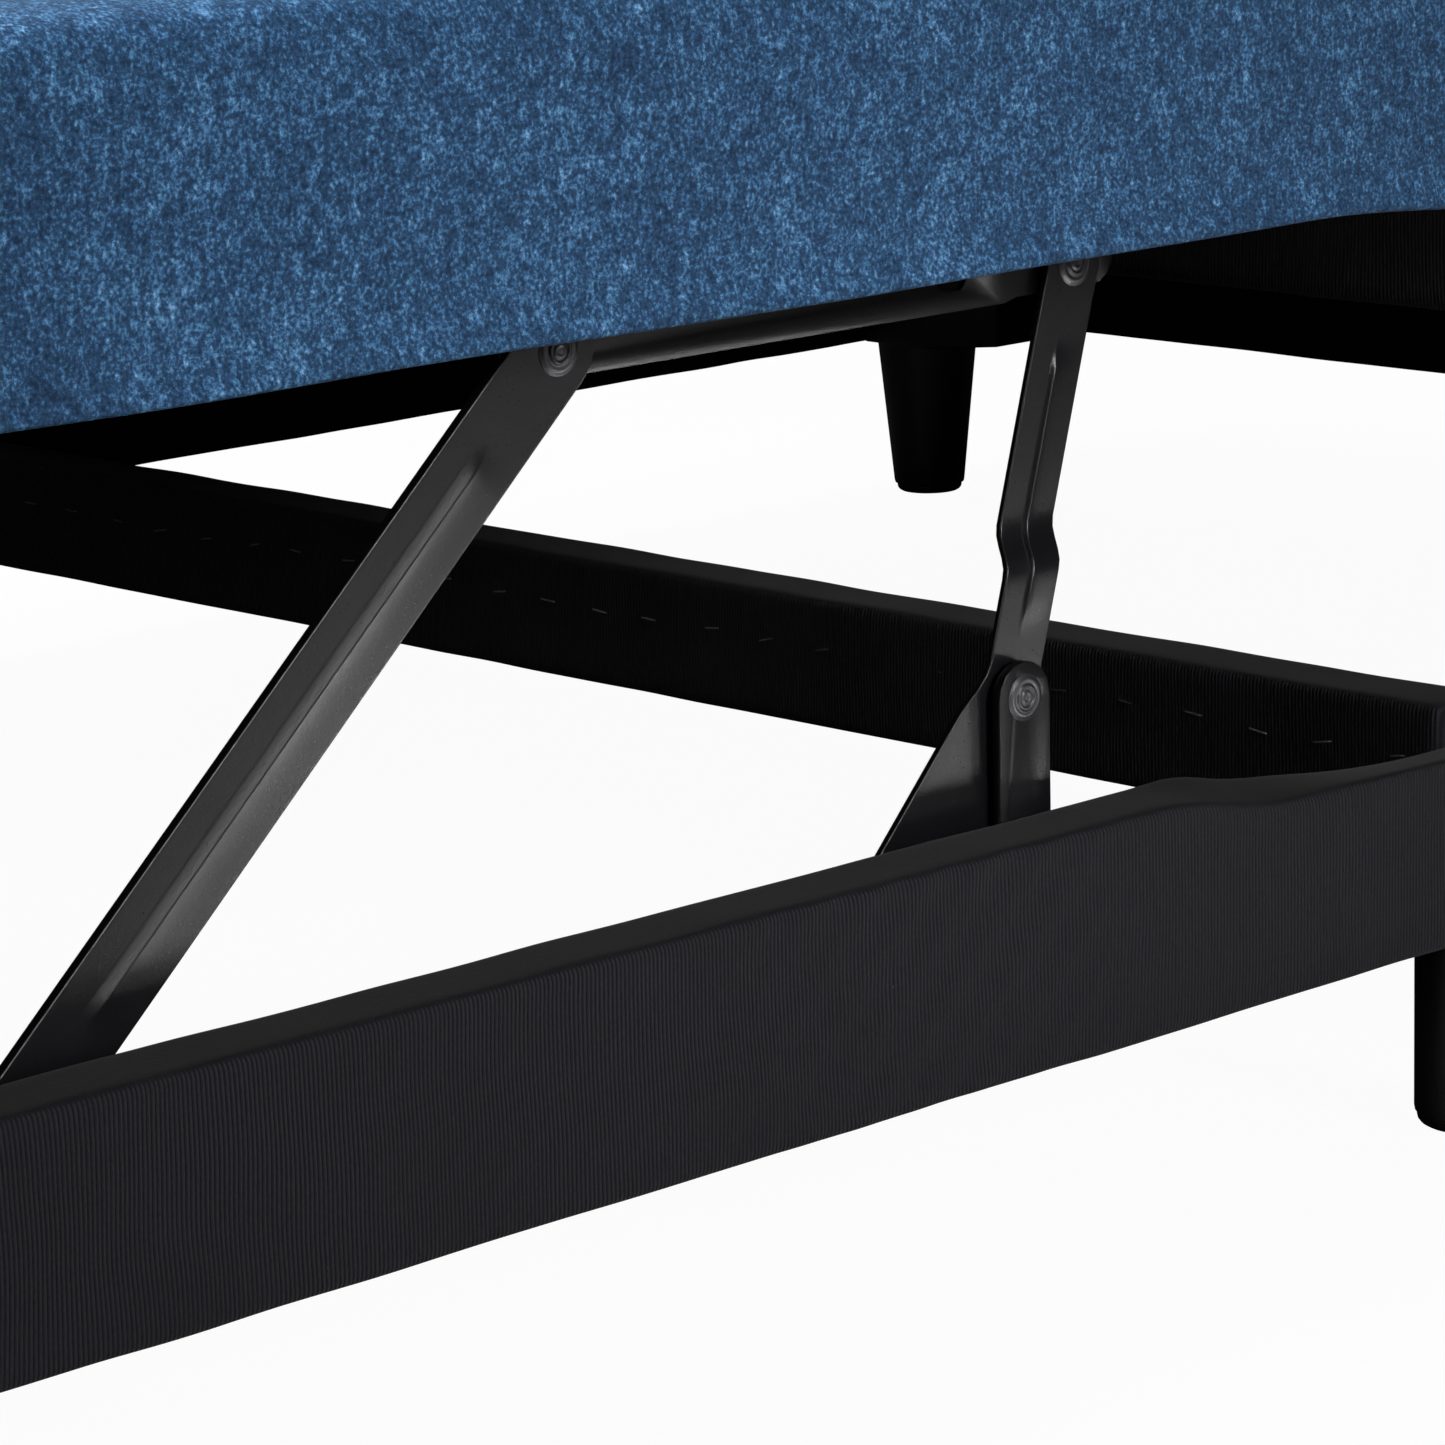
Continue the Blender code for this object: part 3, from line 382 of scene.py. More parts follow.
def makeStudio():
    world = bpy.data.worlds.new("studio")
    bpy.context.scene.world = world
    world.use_nodes = True
    tree = world.node_tree
    seen = tree.nodes["Background"]
    seen.inputs["Color"].default_value = (1, 1, 1, 1)
    seen.inputs["Strength"].default_value = studio["white"]
    soft = tree.nodes.new("ShaderNodeBackground")
    soft.inputs["Strength"].default_value = studio["ambient"]
    mix = tree.nodes.new("ShaderNodeMixShader")
    rays = tree.nodes.new("ShaderNodeLightPath")
    tree.links.new(rays.outputs["Is Camera Ray"], mix.inputs[0])
    tree.links.new(soft.outputs[0], mix.inputs[1])
    tree.links.new(seen.outputs[0], mix.inputs[2])
    tree.links.new(mix.outputs[0], tree.nodes["World Output"].inputs["Surface"])
    for name, (spot, aim, size, watts, spread, onlyShine) in lamps.items():
        lamp = bpy.data.lights.new(name, "AREA")
        lamp.shape = "DISK"
        lamp.size = size
        lamp.energy = watts
        lamp.spread = math.radians(spread)
        holder = asObject(name, lamp)
        holder.location = spot
        holder.visible_diffuse = not onlyShine
        holder.rotation_mode = "QUATERNION"
        holder.rotation_quaternion = (Vector(aim) - Vector(spot)).to_track_quat("-Z", "Y")
    shape = bmesh.new()
    bmesh.ops.create_grid(shape, x_segments=2, y_segments=2, size=studio["floor"])
    floor = asObject("floor", meshFrom("floor", shape, 0))
    n = materialNodes("paleFloor")
    glow = n.add("ShaderNodeEmission", Color=(1, 1, 1, 1), Strength=studio["white"])
    pale = n.add("ShaderNodeBsdfDiffuse", Color=(0.9, 0.9, 0.9, 1))
    dim = n.add("ShaderNodeBsdfDiffuse", Color=(studio["bounce"],) * 3 + (1,))
    rays = n.add("ShaderNodeLightPath").outputs["Is Camera Ray"]
    both = n.add("ShaderNodeMixShader", Fac=studio["shadow"])
    n.tree.links.new(glow.outputs[0], both.inputs[1])
    n.tree.links.new(pale.outputs[0], both.inputs[2])
    last = n.add("ShaderNodeMixShader", Fac=rays)
    n.tree.links.new(dim.outputs[0], last.inputs[1])
    n.tree.links.new(both.outputs[0], last.inputs[2])
    n.tree.links.new(last.outputs[0], n.tree.nodes["Material Output"].inputs["Surface"])
    floor.data.materials.append(n.material)
    floor.location.z = -studio["below"]
    bpy.context.scene.view_settings.view_transform = "Standard"


makeCamera()
makeStudio()
print("bed base: camera and studio are set")


fabricRails = {"edge": 0.0034, "step": 0.008, "ripple": 0.00035, "swell": 0.0006, "rippleSize": 0.05}
slack = {   # where the near rail's cover dips towards the corner leg, and how far
    "from": -0.33, "frontTo": -0.25, "backTo": -0.14, "front": 0.0105, "back": 0.0175,
    "lobe": 0.0035, "lobeAt": -0.285, "lobeWide": 0.022, "startBelow": 0.045, "fullBelow": 0.002}
folds = {"from": -0.60, "to": -0.30, "fade": 0.12, "pitch": 0.026, "alongX": 0.85, "alongZ": 0.95,
         "high": 0.0008, "wander": 2.0, "wanderScale": 9}


def nearSideSlack(spot, low, high):   # how far the cover of the near rail's top hangs down
    front = blend01(spot.x, slack["from"], slack["frontTo"]) * slack["front"]
    back = blend01(spot.x, slack["from"], slack["backTo"]) * slack["back"]
    across = (spot.y - low.y) / (high.y - low.y)
    lobe = slack["lobe"] * math.exp(-((spot.x - slack["lobeAt"]) / slack["lobeWide"]) ** 2) * across
    loose = blend01(spot.z, high.z - slack["startBelow"], high.z - slack["fullBelow"])
    return (front * (1 - across) + back * across - lobe) * loose


def diagonalFolds(spot):   # soft slanting folds in the near rail's face
    reach = bumpAt(spot.x, folds["from"], folds["to"], folds["fade"])
    slant = (spot.x * folds["alongX"] - spot.z * folds["alongZ"]) * 2 * math.pi / folds["pitch"]
    wander = folds["wander"] * noise.noise(spot * folds["wanderScale"])
    return folds["high"] * reach * math.sin(slant + wander)


def railMesh(node):
    low, high = (Vector(c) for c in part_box(node))
    size = high - low
    shape = bmesh.new()
    bmesh.ops.create_cube(shape, size=1)
    bmesh.ops.scale(shape, vec=size, verts=shape.verts)
    bmesh.ops.translate(shape, vec=(low + high) / 2, verts=shape.verts)
    bmesh.ops.bevel(shape, geom=shape.edges[:], offset=fabricRails["edge"], segments=3, profile=0.5,
                    affect="EDGES")
    for axis in range(3):
        count = max(2, int(size[axis] / fabricRails["step"]))
        normal = Vector((axis == 0, axis == 1, axis == 2))
        for step in range(1, count):
            spot = low + normal * size[axis] * step / count
            bmesh.ops.bisect_plane(shape, geom=shape.verts[:] + shape.edges[:] + shape.faces[:],
                                   dist=1e-6, plane_co=spot, plane_no=normal)
    shape.normal_update()
    moves = []
    for vert in shape.verts:
        ripple = noise.noise(vert.co / fabricRails["rippleSize"]) * fabricRails["ripple"] * 2
        moved = vert.co + vert.normal * (ripple + fabricRails["swell"])
        if node == "foot_side_rail_near":
            moved += vert.normal * diagonalFolds(vert.co) * (vert.normal.y < -0.7)
            moved.z -= nearSideSlack(vert.co, low, high)
        moves.append(moved)
    for vert, moved in zip(shape.verts, moves):
        vert.co = moved
    return meshFrom(node, shape, 0)


def coverRails():
    rails = [n for n in frame["nodes"] if n.endswith(("rail_near", "rail_far", "_rail"))]
    for node in sorted(rails):
        low, high = (Vector(c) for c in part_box(node))
        thing = asObject("fabric_" + node, railMesh(node))
        smooth = thing.modifiers.new("soft", "SUBSURF")
        smooth.levels = smooth.render_levels = 1
        bake(thing)
        key = "ribsAlongX" if high.x - low.x > high.y - low.y else "ribsAlongY"
        finishPiece(thing, looks[key], "base", [node])


coverRails()
print("bed base: rails are covered")


deckPad = {"voxel": 0.012, "pressure": 3.0, "cap": 0.006, "edge": 0.020, "wall": 0.0105, "fill": 0.75,
           "turnUnder": 0.0022, "swell": 0.0025, "below": 0.036, "tension": 20, "bending": 1.5,
           "lastFrame": 20, "hemAt": 0.001, "heldUpTo": 0.004}
hem = {   # how uneven the hem is, and where it dips towards the split between the decks
    "dip": 0.007, "dipFrom": -0.235, "dipTo": -0.10, "dipSplit": 0.2, "fadeFrom": 0.004, "fadeTo": 0.075,
    "wave": 0.0016, "waveScale": 7, "waveRow": 3.1, "clearOfTop": 0.06,
    "soft": ((11, 0.0011), (31, 0.0005)), "skin": 0.006}


def blockForSimulation(low, high):   # a rounded block, a little longer than the cover, in even faces
    shape = bmesh.new()
    bmesh.ops.create_cube(shape, size=1)
    bottom = low.z - deckPad["below"]
    size = Vector((high.x - low.x, high.y - low.y, high.z - bottom)) - Vector((1, 1, 1)) * deckPad["swell"]
    bmesh.ops.scale(shape, vec=size, verts=shape.verts)
    bmesh.ops.translate(shape, vec=((low.x + high.x) / 2, (low.y + high.y) / 2, (high.z + bottom) / 2),
                        verts=shape.verts)
    bmesh.ops.bevel(shape, geom=shape.edges[:], offset=deckPad["edge"], segments=4, profile=0.5,
                    affect="EDGES")
    block = asObject("padBlock", meshFrom("padBlock", shape, 0))
    remesh = block.modifiers.new("even", "REMESH")
    remesh.mode = "VOXEL"
    remesh.voxel_size = deckPad["voxel"]
    return bake(block)


def inflate(block, low):   # air pressure swells the cloth while the part below the hem is held
    held = block.vertex_groups.new(name="held")
    under = low.z + deckPad["heldUpTo"]
    held.add([v.index for v in block.data.vertices if v.co.z < under], 1.0, "REPLACE")
    before = np.array([v.co for v in block.data.vertices])
    cloth = block.modifiers.new("cloth", "CLOTH")
    cloth.settings.quality = 5
    cloth.settings.use_pressure = True
    cloth.settings.uniform_pressure_force = deckPad["pressure"]
    cloth.settings.effector_weights.gravity = 0
    cloth.settings.vertex_group_mass = "held"
    cloth.settings.tension_stiffness = deckPad["tension"]
    cloth.settings.bending_stiffness = deckPad["bending"]
    cloth.point_cache.frame_start, cloth.point_cache.frame_end = 1, deckPad["lastFrame"]
    scene = bpy.context.scene
    for number in range(1, deckPad["lastFrame"] + 1):
        scene.frame_set(number)
    bake(block)
    scene.frame_set(1)
    after = np.array([v.co for v in block.data.vertices])
    moved = after - before
    length = np.maximum(np.linalg.norm(moved, axis=1), 1e-9)
    cap = deckPad["cap"]
    moved *= (cap * np.tanh(length / cap) / length)[:, None]
    for vert, spot in zip(block.data.vertices, before + moved):
        vert.co = spot


def openAndTurnUnder(block, name, low, high):   # cuts the block open and turns its edge up to a lining
    shape = bmesh.new()
    shape.from_mesh(block.data)
    everything = shape.verts[:] + shape.edges[:] + shape.faces[:]
    base = low.z + deckPad["hemAt"]
    bmesh.ops.bisect_plane(shape, geom=everything, dist=1e-5, plane_co=(0, 0, base),
                           plane_no=(0, 0, -1), clear_outer=True)
    rim = [e for e in shape.edges if e.is_boundary]
    centre = (low + high) / 2
    inner = Vector((high.x - low.x, high.y - low.y, 0)) / 2 - Vector((1, 1, 0)) * deckPad["wall"]
    roll = deckPad["turnUnder"]

    def pulledIn(spot, share, drop):   # part of the way from the outer face to the lining's rectangle
        flat = Vector((min(inner.x, max(-inner.x, spot.x - centre.x)) + centre.x,
                       min(inner.y, max(-inner.y, spot.y - centre.y)) + centre.y, 0))
        outer = Vector((spot.x, spot.y, 0))
        result = outer.lerp(flat, share)
        result.z = spot.z + drop
        return result

    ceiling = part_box(name.replace("velvet_cover", "panel"))[1][2] + 2 * proud
    turn = ((0.12, -0.7 * roll), (0.35, -roll), (0.75, -roll), (0.95, -0.5 * roll), (1.0, 0.02), (1.0, None))
    for share, drop in turn:
        made = bmesh.ops.extrude_edge_only(shape, edges=rim)["geom"]
        verts = [g for g in made if isinstance(g, bmesh.types.BMVert)]
        rim = [g for g in made if isinstance(g, bmesh.types.BMEdge) and g.is_boundary]
        for vert in verts:
            spot = Vector((vert.co.x, vert.co.y, base))
            if drop is None:
                vert.co = Vector((*pulledIn(spot, 1.0, 0).xy, ceiling))
            else:
                vert.co = pulledIn(spot, share, drop)
    return shape


def hemAndSurface(shape, low, high):   # an uneven hem, its dip, and a soft unevenness all over
    shape.normal_update()
    for vert in shape.verts:
        near = vert.co.y < (low.y + high.y) / 2
        lower = 1 - blend01(vert.co.z, low.z + hem["fadeFrom"], low.z + hem["fadeTo"])
        sideways = abs(vert.normal.z) < 0.8
        row = Vector((vert.co.x * hem["waveScale"], vert.co.y * hem["waveScale"], hem["waveRow"]))
        wave = noise.noise(row) * hem["wave"]
        dip = blend01(vert.co.x, hem["dipFrom"], hem["dipTo"]) * hem["dip"] * near
        if vert.co.z < high.z - hem["clearOfTop"]:
            vert.co.z += (wave - dip * (high.x < hem["dipSplit"])) * lower
        soft = sum(noise.noise(vert.co * scale) * depth for scale, depth in hem["soft"])
        outside = vert.normal.z > 0.5 or (sideways and vert.co.z > low.z + hem["fadeFrom"])
        if outside and insideGap(vert.co, low, high) < hem["skin"]:
            vert.co += vert.normal * soft


def closeLining(mesh):   # one flat face over the lining's open rim, so that the cover is a closed body
    shape = bmesh.new()
    shape.from_mesh(mesh)
    bmesh.ops.contextual_create(shape, geom=[e for e in shape.edges if e.is_boundary])
    bmesh.ops.recalc_face_normals(shape, faces=shape.faces)
    shape.to_mesh(mesh)
    shape.free()
    mesh.shade_smooth()


def insideGap(spot, low, high):   # distance in from the nearest outer face
    return min(spot.x - low.x, high.x - spot.x, spot.y - low.y, high.y - spot.y, high.z - spot.z)


def velvetDeck(node, body):
    low, high = (Vector(c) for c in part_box(node))
    block = blockForSimulation(low, high)
    inflate(block, low)
    shape = openAndTurnUnder(block, node, low, high)
    bpy.data.objects.remove(block)
    hemAndSurface(shape, low, high)
    thing = asObject("padded_" + node, meshFrom(node, shape, 0))
    smooth = thing.modifiers.new("soft", "SUBSURF")
    smooth.levels = smooth.render_levels = 1
    smooth.boundary_smooth = "PRESERVE_CORNERS"
    bake(thing)
    closeLining(thing.data)
    finishPiece(thing, looks["velvet"], body, [node])
    print("bed base: velvet on", node, len(thing.data.polygons), "faces")


velvetDeck("lift_deck_velvet_cover", "lift_deck")
velvetDeck("head_deck_velvet_cover", "base")


pressing = {"thick": 0.003, "edge": 0.0007, "bend": 0.0008, "faceSteps": 60, "lip": 0.0015,
            "footCurve": 1.25, "inside": 0.9, "sharp": 24}
armRib = {"crest": 0.0000, "rise": 0.0050, "fall": 0.0165, "high": 0.00125, "crown": 0.0040,
          "crownShare": 0.3}
crankRib = {"crest": 0.0016, "rise": 0.0018, "fall": 0.0155, "high": 0.0016, "crown": 0.0040,
            "crownShare": 0.3}


def ribHeight(t, rib):   # a soft foot, a rise to a sharp crest and a long fall to the plain edge
    if t > rib["crest"]:
        return rib["high"] * max(0.0, 1 - (t - rib["crest"]) / rib["rise"]) ** pressing["footCurve"]
    down = rib["crest"] - t
    slope = max(0.0, 1 - down / rib["fall"])
    crown = rib["crownShare"]
    return rib["high"] * slope * (1 - crown + crown * math.exp(-down / rib["crown"]))


def strapSection(half, rib, share, lip, nominal):   # (across, inwards); the lipped edge is at positive across
    p = pressing
    points = []
    steps = p["faceSteps"]
    start, end = -(nominal - p["edge"]), nominal - p["bend"]
    for i in range(steps + 1):
        t = start + (end - start) * i / steps
        points.append((t, -share * ribHeight(t, rib)))
    for i in range(1, 7):
        angle = math.pi / 2 * i / 6
        points.append((nominal - p["bend"] + p["bend"] * math.sin(angle),
                       p["bend"] * (1 - math.cos(angle))))
    tip = p["thick"] + lip
    wall = nominal - p["thick"] * 0.8
    points.append((nominal, tip - p["edge"]))
    points.append((nominal - p["edge"], tip))
    points.append((wall + p["edge"], tip))
    points.append((wall, tip - p["edge"]))
    points.append((wall - 0.0003, p["thick"] + min(0.001, lip * 0.3)))
    inner = wall - 0.0012
    for i in range(steps + 1):
        t = inner + (-(nominal - p["edge"]) - inner) * i / steps
        points.append((t, p["thick"] - share * ribHeight(t, rib) * p["inside"]))
    for i in range(1, 8):
        angle = math.pi * i / 8
        points.append((-(nominal - p["edge"]) - p["edge"] * math.sin(angle),
                       p["thick"] / 2 + (p["thick"] / 2) * math.cos(angle)))
    scale = half / nominal
    return [(t * scale, n) for t, n in points]


def loft(name, rings):
    shape = bmesh.new()
    made = [[shape.verts.new(spot) for spot in ring] for ring in rings]
    count = len(rings[0])
    for one, two in zip(made, made[1:]):
        for i in range(count):
            j = (i + 1) % count
            shape.faces.new((one[i], one[j], two[j], two[i]))
    shape.faces.new(made[0][::-1])
    shape.faces.new(made[-1])
    return meshFrom(name, shape, pressing["sharp"])


def strapRing(side, centre, left, half, rib, share, lip, nominal, depthY):   # centre and left are (x, z)
    ring = []
    for t, inwards in strapSection(half, rib, share, lip, nominal):
        ring.append((centre[0] + left[0] * t, depthY - side * inwards, centre[1] + left[1] * t))
    return ring


def evenStops(length, step, roundEnd):   # stops along a strap, closer where its ends round off
    count = int(length / step)
    inside = [length * i / count for i in range(count + 1)]
    turn = [roundEnd * math.sin(math.pi / 2 * i / 9) for i in range(1, 10)]
    turn[-1] = roundEnd * 0.9995
    return [-t for t in reversed(turn)] + inside + [length + t for t in turn]


armShape = {"half": 0.017, "step": 0.004, "setBack": 0.0015, "ribFrom": 0.225, "ribTo": 0.875,
            "ribEnd": 0.010, "lipFrom": 0.05, "lipTo": 0.938, "lipEnd": 0.006}


def longArm(label, side):
    node = "long_arm_" + label
    start, end = middle("arm_pivot_rivet_" + label), middle("arm_deck_rivet_" + label)
    low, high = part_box(node)
    a, b = Vector((start.x, start.z)), Vector((end.x, end.z))
    length = (b - a).length
    along = (b - a) / length
    left = (-along.y, along.x)
    g = armShape
    half = g["half"]
    outerY = (low[1] if side < 0 else high[1]) - side * g["setBack"]
    rings = []
    for s in evenStops(length, g["step"], half):
        beyond = max(0.0, -s, s - length)
        width = math.sqrt(max(half * half - beyond * beyond, 1e-9))
        share = bumpAt(s, length * g["ribFrom"], length * g["ribTo"], g["ribEnd"])
        lip = pressing["lip"] * bumpAt(s, length * g["lipFrom"], length * g["lipTo"], g["lipEnd"])
        spot = a + along * s
        rings.append(strapRing(side, spot, left, width, armRib, share, lip, half, outerY))
    thing = asObject("pressed_" + node, loft(node, rings))
    finishPiece(thing, looks["steel"], node, [node])


def outlineEdges(outline, height):   # leftmost and rightmost x where an outline crosses a height
    found = []
    for (x0, z0), (x1, z1) in zip(outline, outline[1:] + outline[:1]):
        if (z0 - height) * (z1 - height) <= 0 and z0 != z1:
            found.append(x0 + (x1 - x0) * (height - z0) / (z1 - z0))
    return min(found), max(found)


def beltOutline(circles, count=96):   # a belt pulled tight round circles, each (x, z, radius)
    turns = [2 * math.pi * i / count for i in range(count)]
    points = sorted({(x + r * math.cos(a), z + r * math.sin(a)) for x, z, r in circles for a in turns})
    chains = []
    for ordered in (points, points[::-1]):
        chain = []
        for q in ordered:
            while len(chain) > 1 and ((chain[-1][0] - chain[-2][0]) * (q[1] - chain[-2][1])
                                      - (chain[-1][1] - chain[-2][1]) * (q[0] - chain[-2][0])) <= 0:
                chain.pop()
            chain.append(q)
        chains.append(chain[:-1])
    return chains[0] + chains[1]


crankShape = {"plate": 0.0186, "toe": (-0.006, -0.0825), "half": 0.01435, "stepFrom": 0.046,
              "stepRun": 0.018, "step": 0.008, "beadFrom": 0.024, "beadTo": 0.030, "beadEnd": 0.012,
              "neck": 0.022, "rings": 110}


def crank(label, side):
    node = "crank_" + label
    pivot, top = middle("crank_pivot_rivet_" + label), middle("crank_deck_rivet_" + label)
    strutEnd = middle("strut_crank_stud_" + label)
    low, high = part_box(node)
    c = crankShape
    outerY = (low[1] if side < 0 else high[1])
    toe = (pivot.x + c["toe"][0], pivot.z + c["toe"][1])
    plate = beltOutline([(pivot.x, pivot.z, c["plate"]), (strutEnd.x, strutEnd.z, c["plate"]),
                         (toe[0], toe[1], c["plate"])])
    arm = beltOutline([(pivot.x, pivot.z, c["half"]), (top.x, top.z, c["half"])])
    plateTop = max(z for _, z in plate)
    plateLow = min(z for _, z in plate)
    armLow = min(z for _, z in arm)
    armTop = max(z for _, z in arm)
    heights = [plateLow + 0.00001
               + (armTop - plateLow - 0.00002) * (0.5 - 0.5 * math.cos(math.pi * i / c["rings"]))
               for i in range(c["rings"] + 1)]
    rings = []
    for z in heights:
        edges = []
        if z < plateTop - 1e-5:
            edges.append(outlineEdges(plate, z))
        if z > armLow + 1e-5:
            edges.append(outlineEdges(arm, z))
        share = blend01(z, plateTop - c["neck"], plateTop)
        if len(edges) == 2:
            wide = (min(e[0] for e in edges), max(e[1] for e in edges))
            xLeft = wide[0] * (1 - share) + edges[1][0] * share
            xRight = wide[1] * (1 - share) + edges[1][1] * share
        else:
            xLeft, xRight = edges[0]
        rise = z - pivot.z
        depthY = outerY - side * c["step"] * blend01(rise, c["stepFrom"], c["stepFrom"] + c["stepRun"])
        raised = bumpAt(z, pivot.z + c["beadFrom"], top.z - c["beadTo"], c["beadEnd"])
        half = (xRight - xLeft) / 2
        nominal = max(half, c["half"])
        rings.append(strapRing(side, ((xLeft + xRight) / 2, z), (-1, 0), half, crankRib, raised, 0.0,
                               nominal, depthY))
    thing = asObject("pressed_" + node, loft(node, rings))
    finishPiece(thing, looks["steel"], node, [node])


for label, side in sides.items():
    longArm(label, side)
    crank(label, side)
print("bed base: arms and cranks are pressed")


softEdges = {"steel": 0.0007, "timber": 0.0015, "block": 0.0015, "ply": 0.0008}


def softened(node, width, segments=2):   # a CAD solid with its flat faces joined and its edges rounded
    shape = bmesh.new()
    shape.from_mesh(frame["nodes"][node].data)
    bmesh.ops.remove_doubles(shape, verts=shape.verts, dist=1e-6)
    bmesh.ops.dissolve_limit(shape, angle_limit=math.radians(1.0), verts=shape.verts, edges=shape.edges)
    thing = asObject("soft_" + node, meshFrom(node, shape, 0))
    rounding = thing.modifiers.new("rounding", "BEVEL")
    rounding.width = width
    rounding.segments = segments
    rounding.limit_method = "ANGLE"
    rounding.angle_limit = math.radians(35)
    bake(thing)
    thing.data.shade_smooth()
    thing.data.set_sharp_from_angle(angle=math.radians(40))
    return thing


def softenOne(node, edge, look):
    finishPiece(softened(node, softEdges[edge]), looks[look], frame["nodes"][node]["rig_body"], [node])


def softenTheRest():
    steel = ("ground_plate", "join_plate", "coupler_near", "coupler_far")
    for node in sorted(n for n in frame["nodes"] if n.startswith(steel)):
        softenOne(node, "steel", "steel")
    timber = [n for n in frame["nodes"] if "timber_frame" in n or "leg_block" in n or "rib" in n]
    for node in sorted(timber):
        grain = "timberX" if "rib" in node or "frame" in node else "timberY"
        softenOne(node, "timber", grain)
    for node in ("head_corner_block_near", "head_corner_block_far"):
        softenOne(node, "block", "leg")
    for node in ("lift_deck_panel", "head_deck_panel"):
        softenOne(node, "ply", "ply")


softenTheRest()
print("bed base: plates and timber are softened")


# profile is (radius, height) from the bottom up, with both ends on the axis
def turnedShape(shape, profile, steps, place):
    rings = []
    turns = [2 * math.pi * i / steps for i in range(steps)]
    for radius, height in profile:
        spots = [(0, 0, height)]
        if radius > 1e-7:
            spots = [(radius * math.cos(a), radius * math.sin(a), height) for a in turns]
        rings.append([shape.verts.new(place @ Vector(spot)) for spot in spots])
    for one, two in zip(rings, rings[1:]):
        for i in range(steps):
            j = (i + 1) % steps
            corners = [one[i % len(one)], one[j % len(one)], two[j % len(two)], two[i % len(two)]]
            kept = [v for k, v in enumerate(corners) if v not in corners[:k]]
            if len(kept) > 2:
                shape.faces.new(kept)


legShape = {"glideHeight": 0.005, "glideInset": 0.0012, "groove": 0.0008, "footRound": 0.006,
            "headFoot": 0.024}


def leg(node):
    low, high = (Vector(c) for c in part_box(node))
    centre = (low + high) / 2
    topRadius = (high.x - low.x) / 2
    g = legShape
    footRadius = g["headFoot"] if "head" in node else topRadius
    height = high.z

    def lean(z):
        return footRadius + (topRadius - footRadius) * z / height

    profile = [(0, 0), (footRadius - g["footRound"], 0)]
    profile += [(footRadius - g["footRound"] + (g["footRound"] - g["glideInset"]) * math.sin(a),
                 (g["glideHeight"] - 0.001) * (1 - math.cos(a))) for a in (0.4, 0.8, 1.2, math.pi / 2)]
    z = g["glideHeight"]
    neck = lean(z) - g["glideInset"] - g["groove"]
    profile += [(neck, z - 0.0008), (neck, z + 0.0004), (lean(z) - 0.0012, z + 0.0006),
                (lean(z + 0.0012) - 0.0003, z + 0.0012), (lean(z + 0.003), z + 0.003)]
    profile += [(lean(height * k), height * k) for k in (0.25, 0.5, 0.75)]
    profile += [(lean(height) - 0.0001, height - 0.0016), (lean(height) - 0.0014, height - 0.0001),
                (0, height - 0.0001)]
    shape = bmesh.new()
    turnedShape(shape, profile, 72, Matrix.Translation((centre.x, centre.y, 0)))
    thing = asObject("turned_" + node, meshFrom(node, shape, 30))
    finishPiece(thing, looks["leg"], "base", [node])


for node in sorted(n for n in frame["nodes"] if n.startswith("leg_") and "block" not in n):
    leg(node)


strutShape = {"barrel": 0.009, "rod": 0.004, "socket": 0.0088, "socketWide": 0.0118}


def strut(label, side):
    anchor, end = middle("strut_anchor_stud_" + label), middle("strut_crank_stud_" + label)
    barrelLow, barrelHigh = (Vector(c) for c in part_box("strut_barrel_" + label))
    y = (barrelLow.y + barrelHigh.y) / 2
    start, finish = Vector((anchor.x, y, anchor.z)), Vector((end.x, y, end.z))
    reach = (finish - start).length
    aim = Matrix.Translation(start) @ (finish - start).to_track_quat("Z", "Y").to_matrix().to_4x4()
    q = strutShape
    wide = q["socketWide"] / 2

    def socket(shape, spot):
        cross = Matrix.Translation(spot) @ Matrix.Rotation(math.radians(90), 4, "X")
        profile = [(0, -wide), (q["socket"] - 0.001, -wide), (q["socket"], -wide + 0.001),
                   (q["socket"], wide - 0.001), (q["socket"] - 0.001, wide), (0, wide)]
        turnedShape(shape, profile, 36, cross)

    shape = bmesh.new()
    profile = [(0, 0.004), (0.0045, 0.004), (0.0045, 0.017), (0.006, 0.019), (q["barrel"] - 0.001, 0.020),
               (q["barrel"], 0.0215), (q["barrel"], 0.190), (q["barrel"] - 0.0007, 0.1912),
               (q["barrel"] - 0.0007, 0.1925), (q["barrel"], 0.1937), (q["barrel"], 0.1985),
               (q["barrel"] - 0.0015, 0.1999), (q["rod"] + 0.0006, 0.1999), (q["rod"] + 0.0006, 0.196), (0, 0.196)]
    turnedShape(shape, profile, 40, aim)
    socket(shape, start)
    thing = asObject("turned_strut_barrel_" + label, meshFrom("strutBarrel", shape, 30))
    finishPiece(thing, looks["steel"], "strut_barrel_" + label, ["strut_barrel_" + label])
    shape = bmesh.new()
    turnedShape(shape, [(0, 0.100), (q["rod"], 0.101), (q["rod"], reach - 0.016), (0.0052, reach - 0.015),
                        (0.0052, reach - 0.004), (0, reach - 0.004)], 32, aim)
    socket(shape, finish)
    thing = asObject("turned_strut_rod_" + label, meshFrom("strutRod", shape, 30))
    finishPiece(thing, looks["rod"], "strut_rod_" + label, ["strut_rod_" + label])


for label, side in sides.items():
    strut(label, side)
print("bed base: legs and struts are turned")


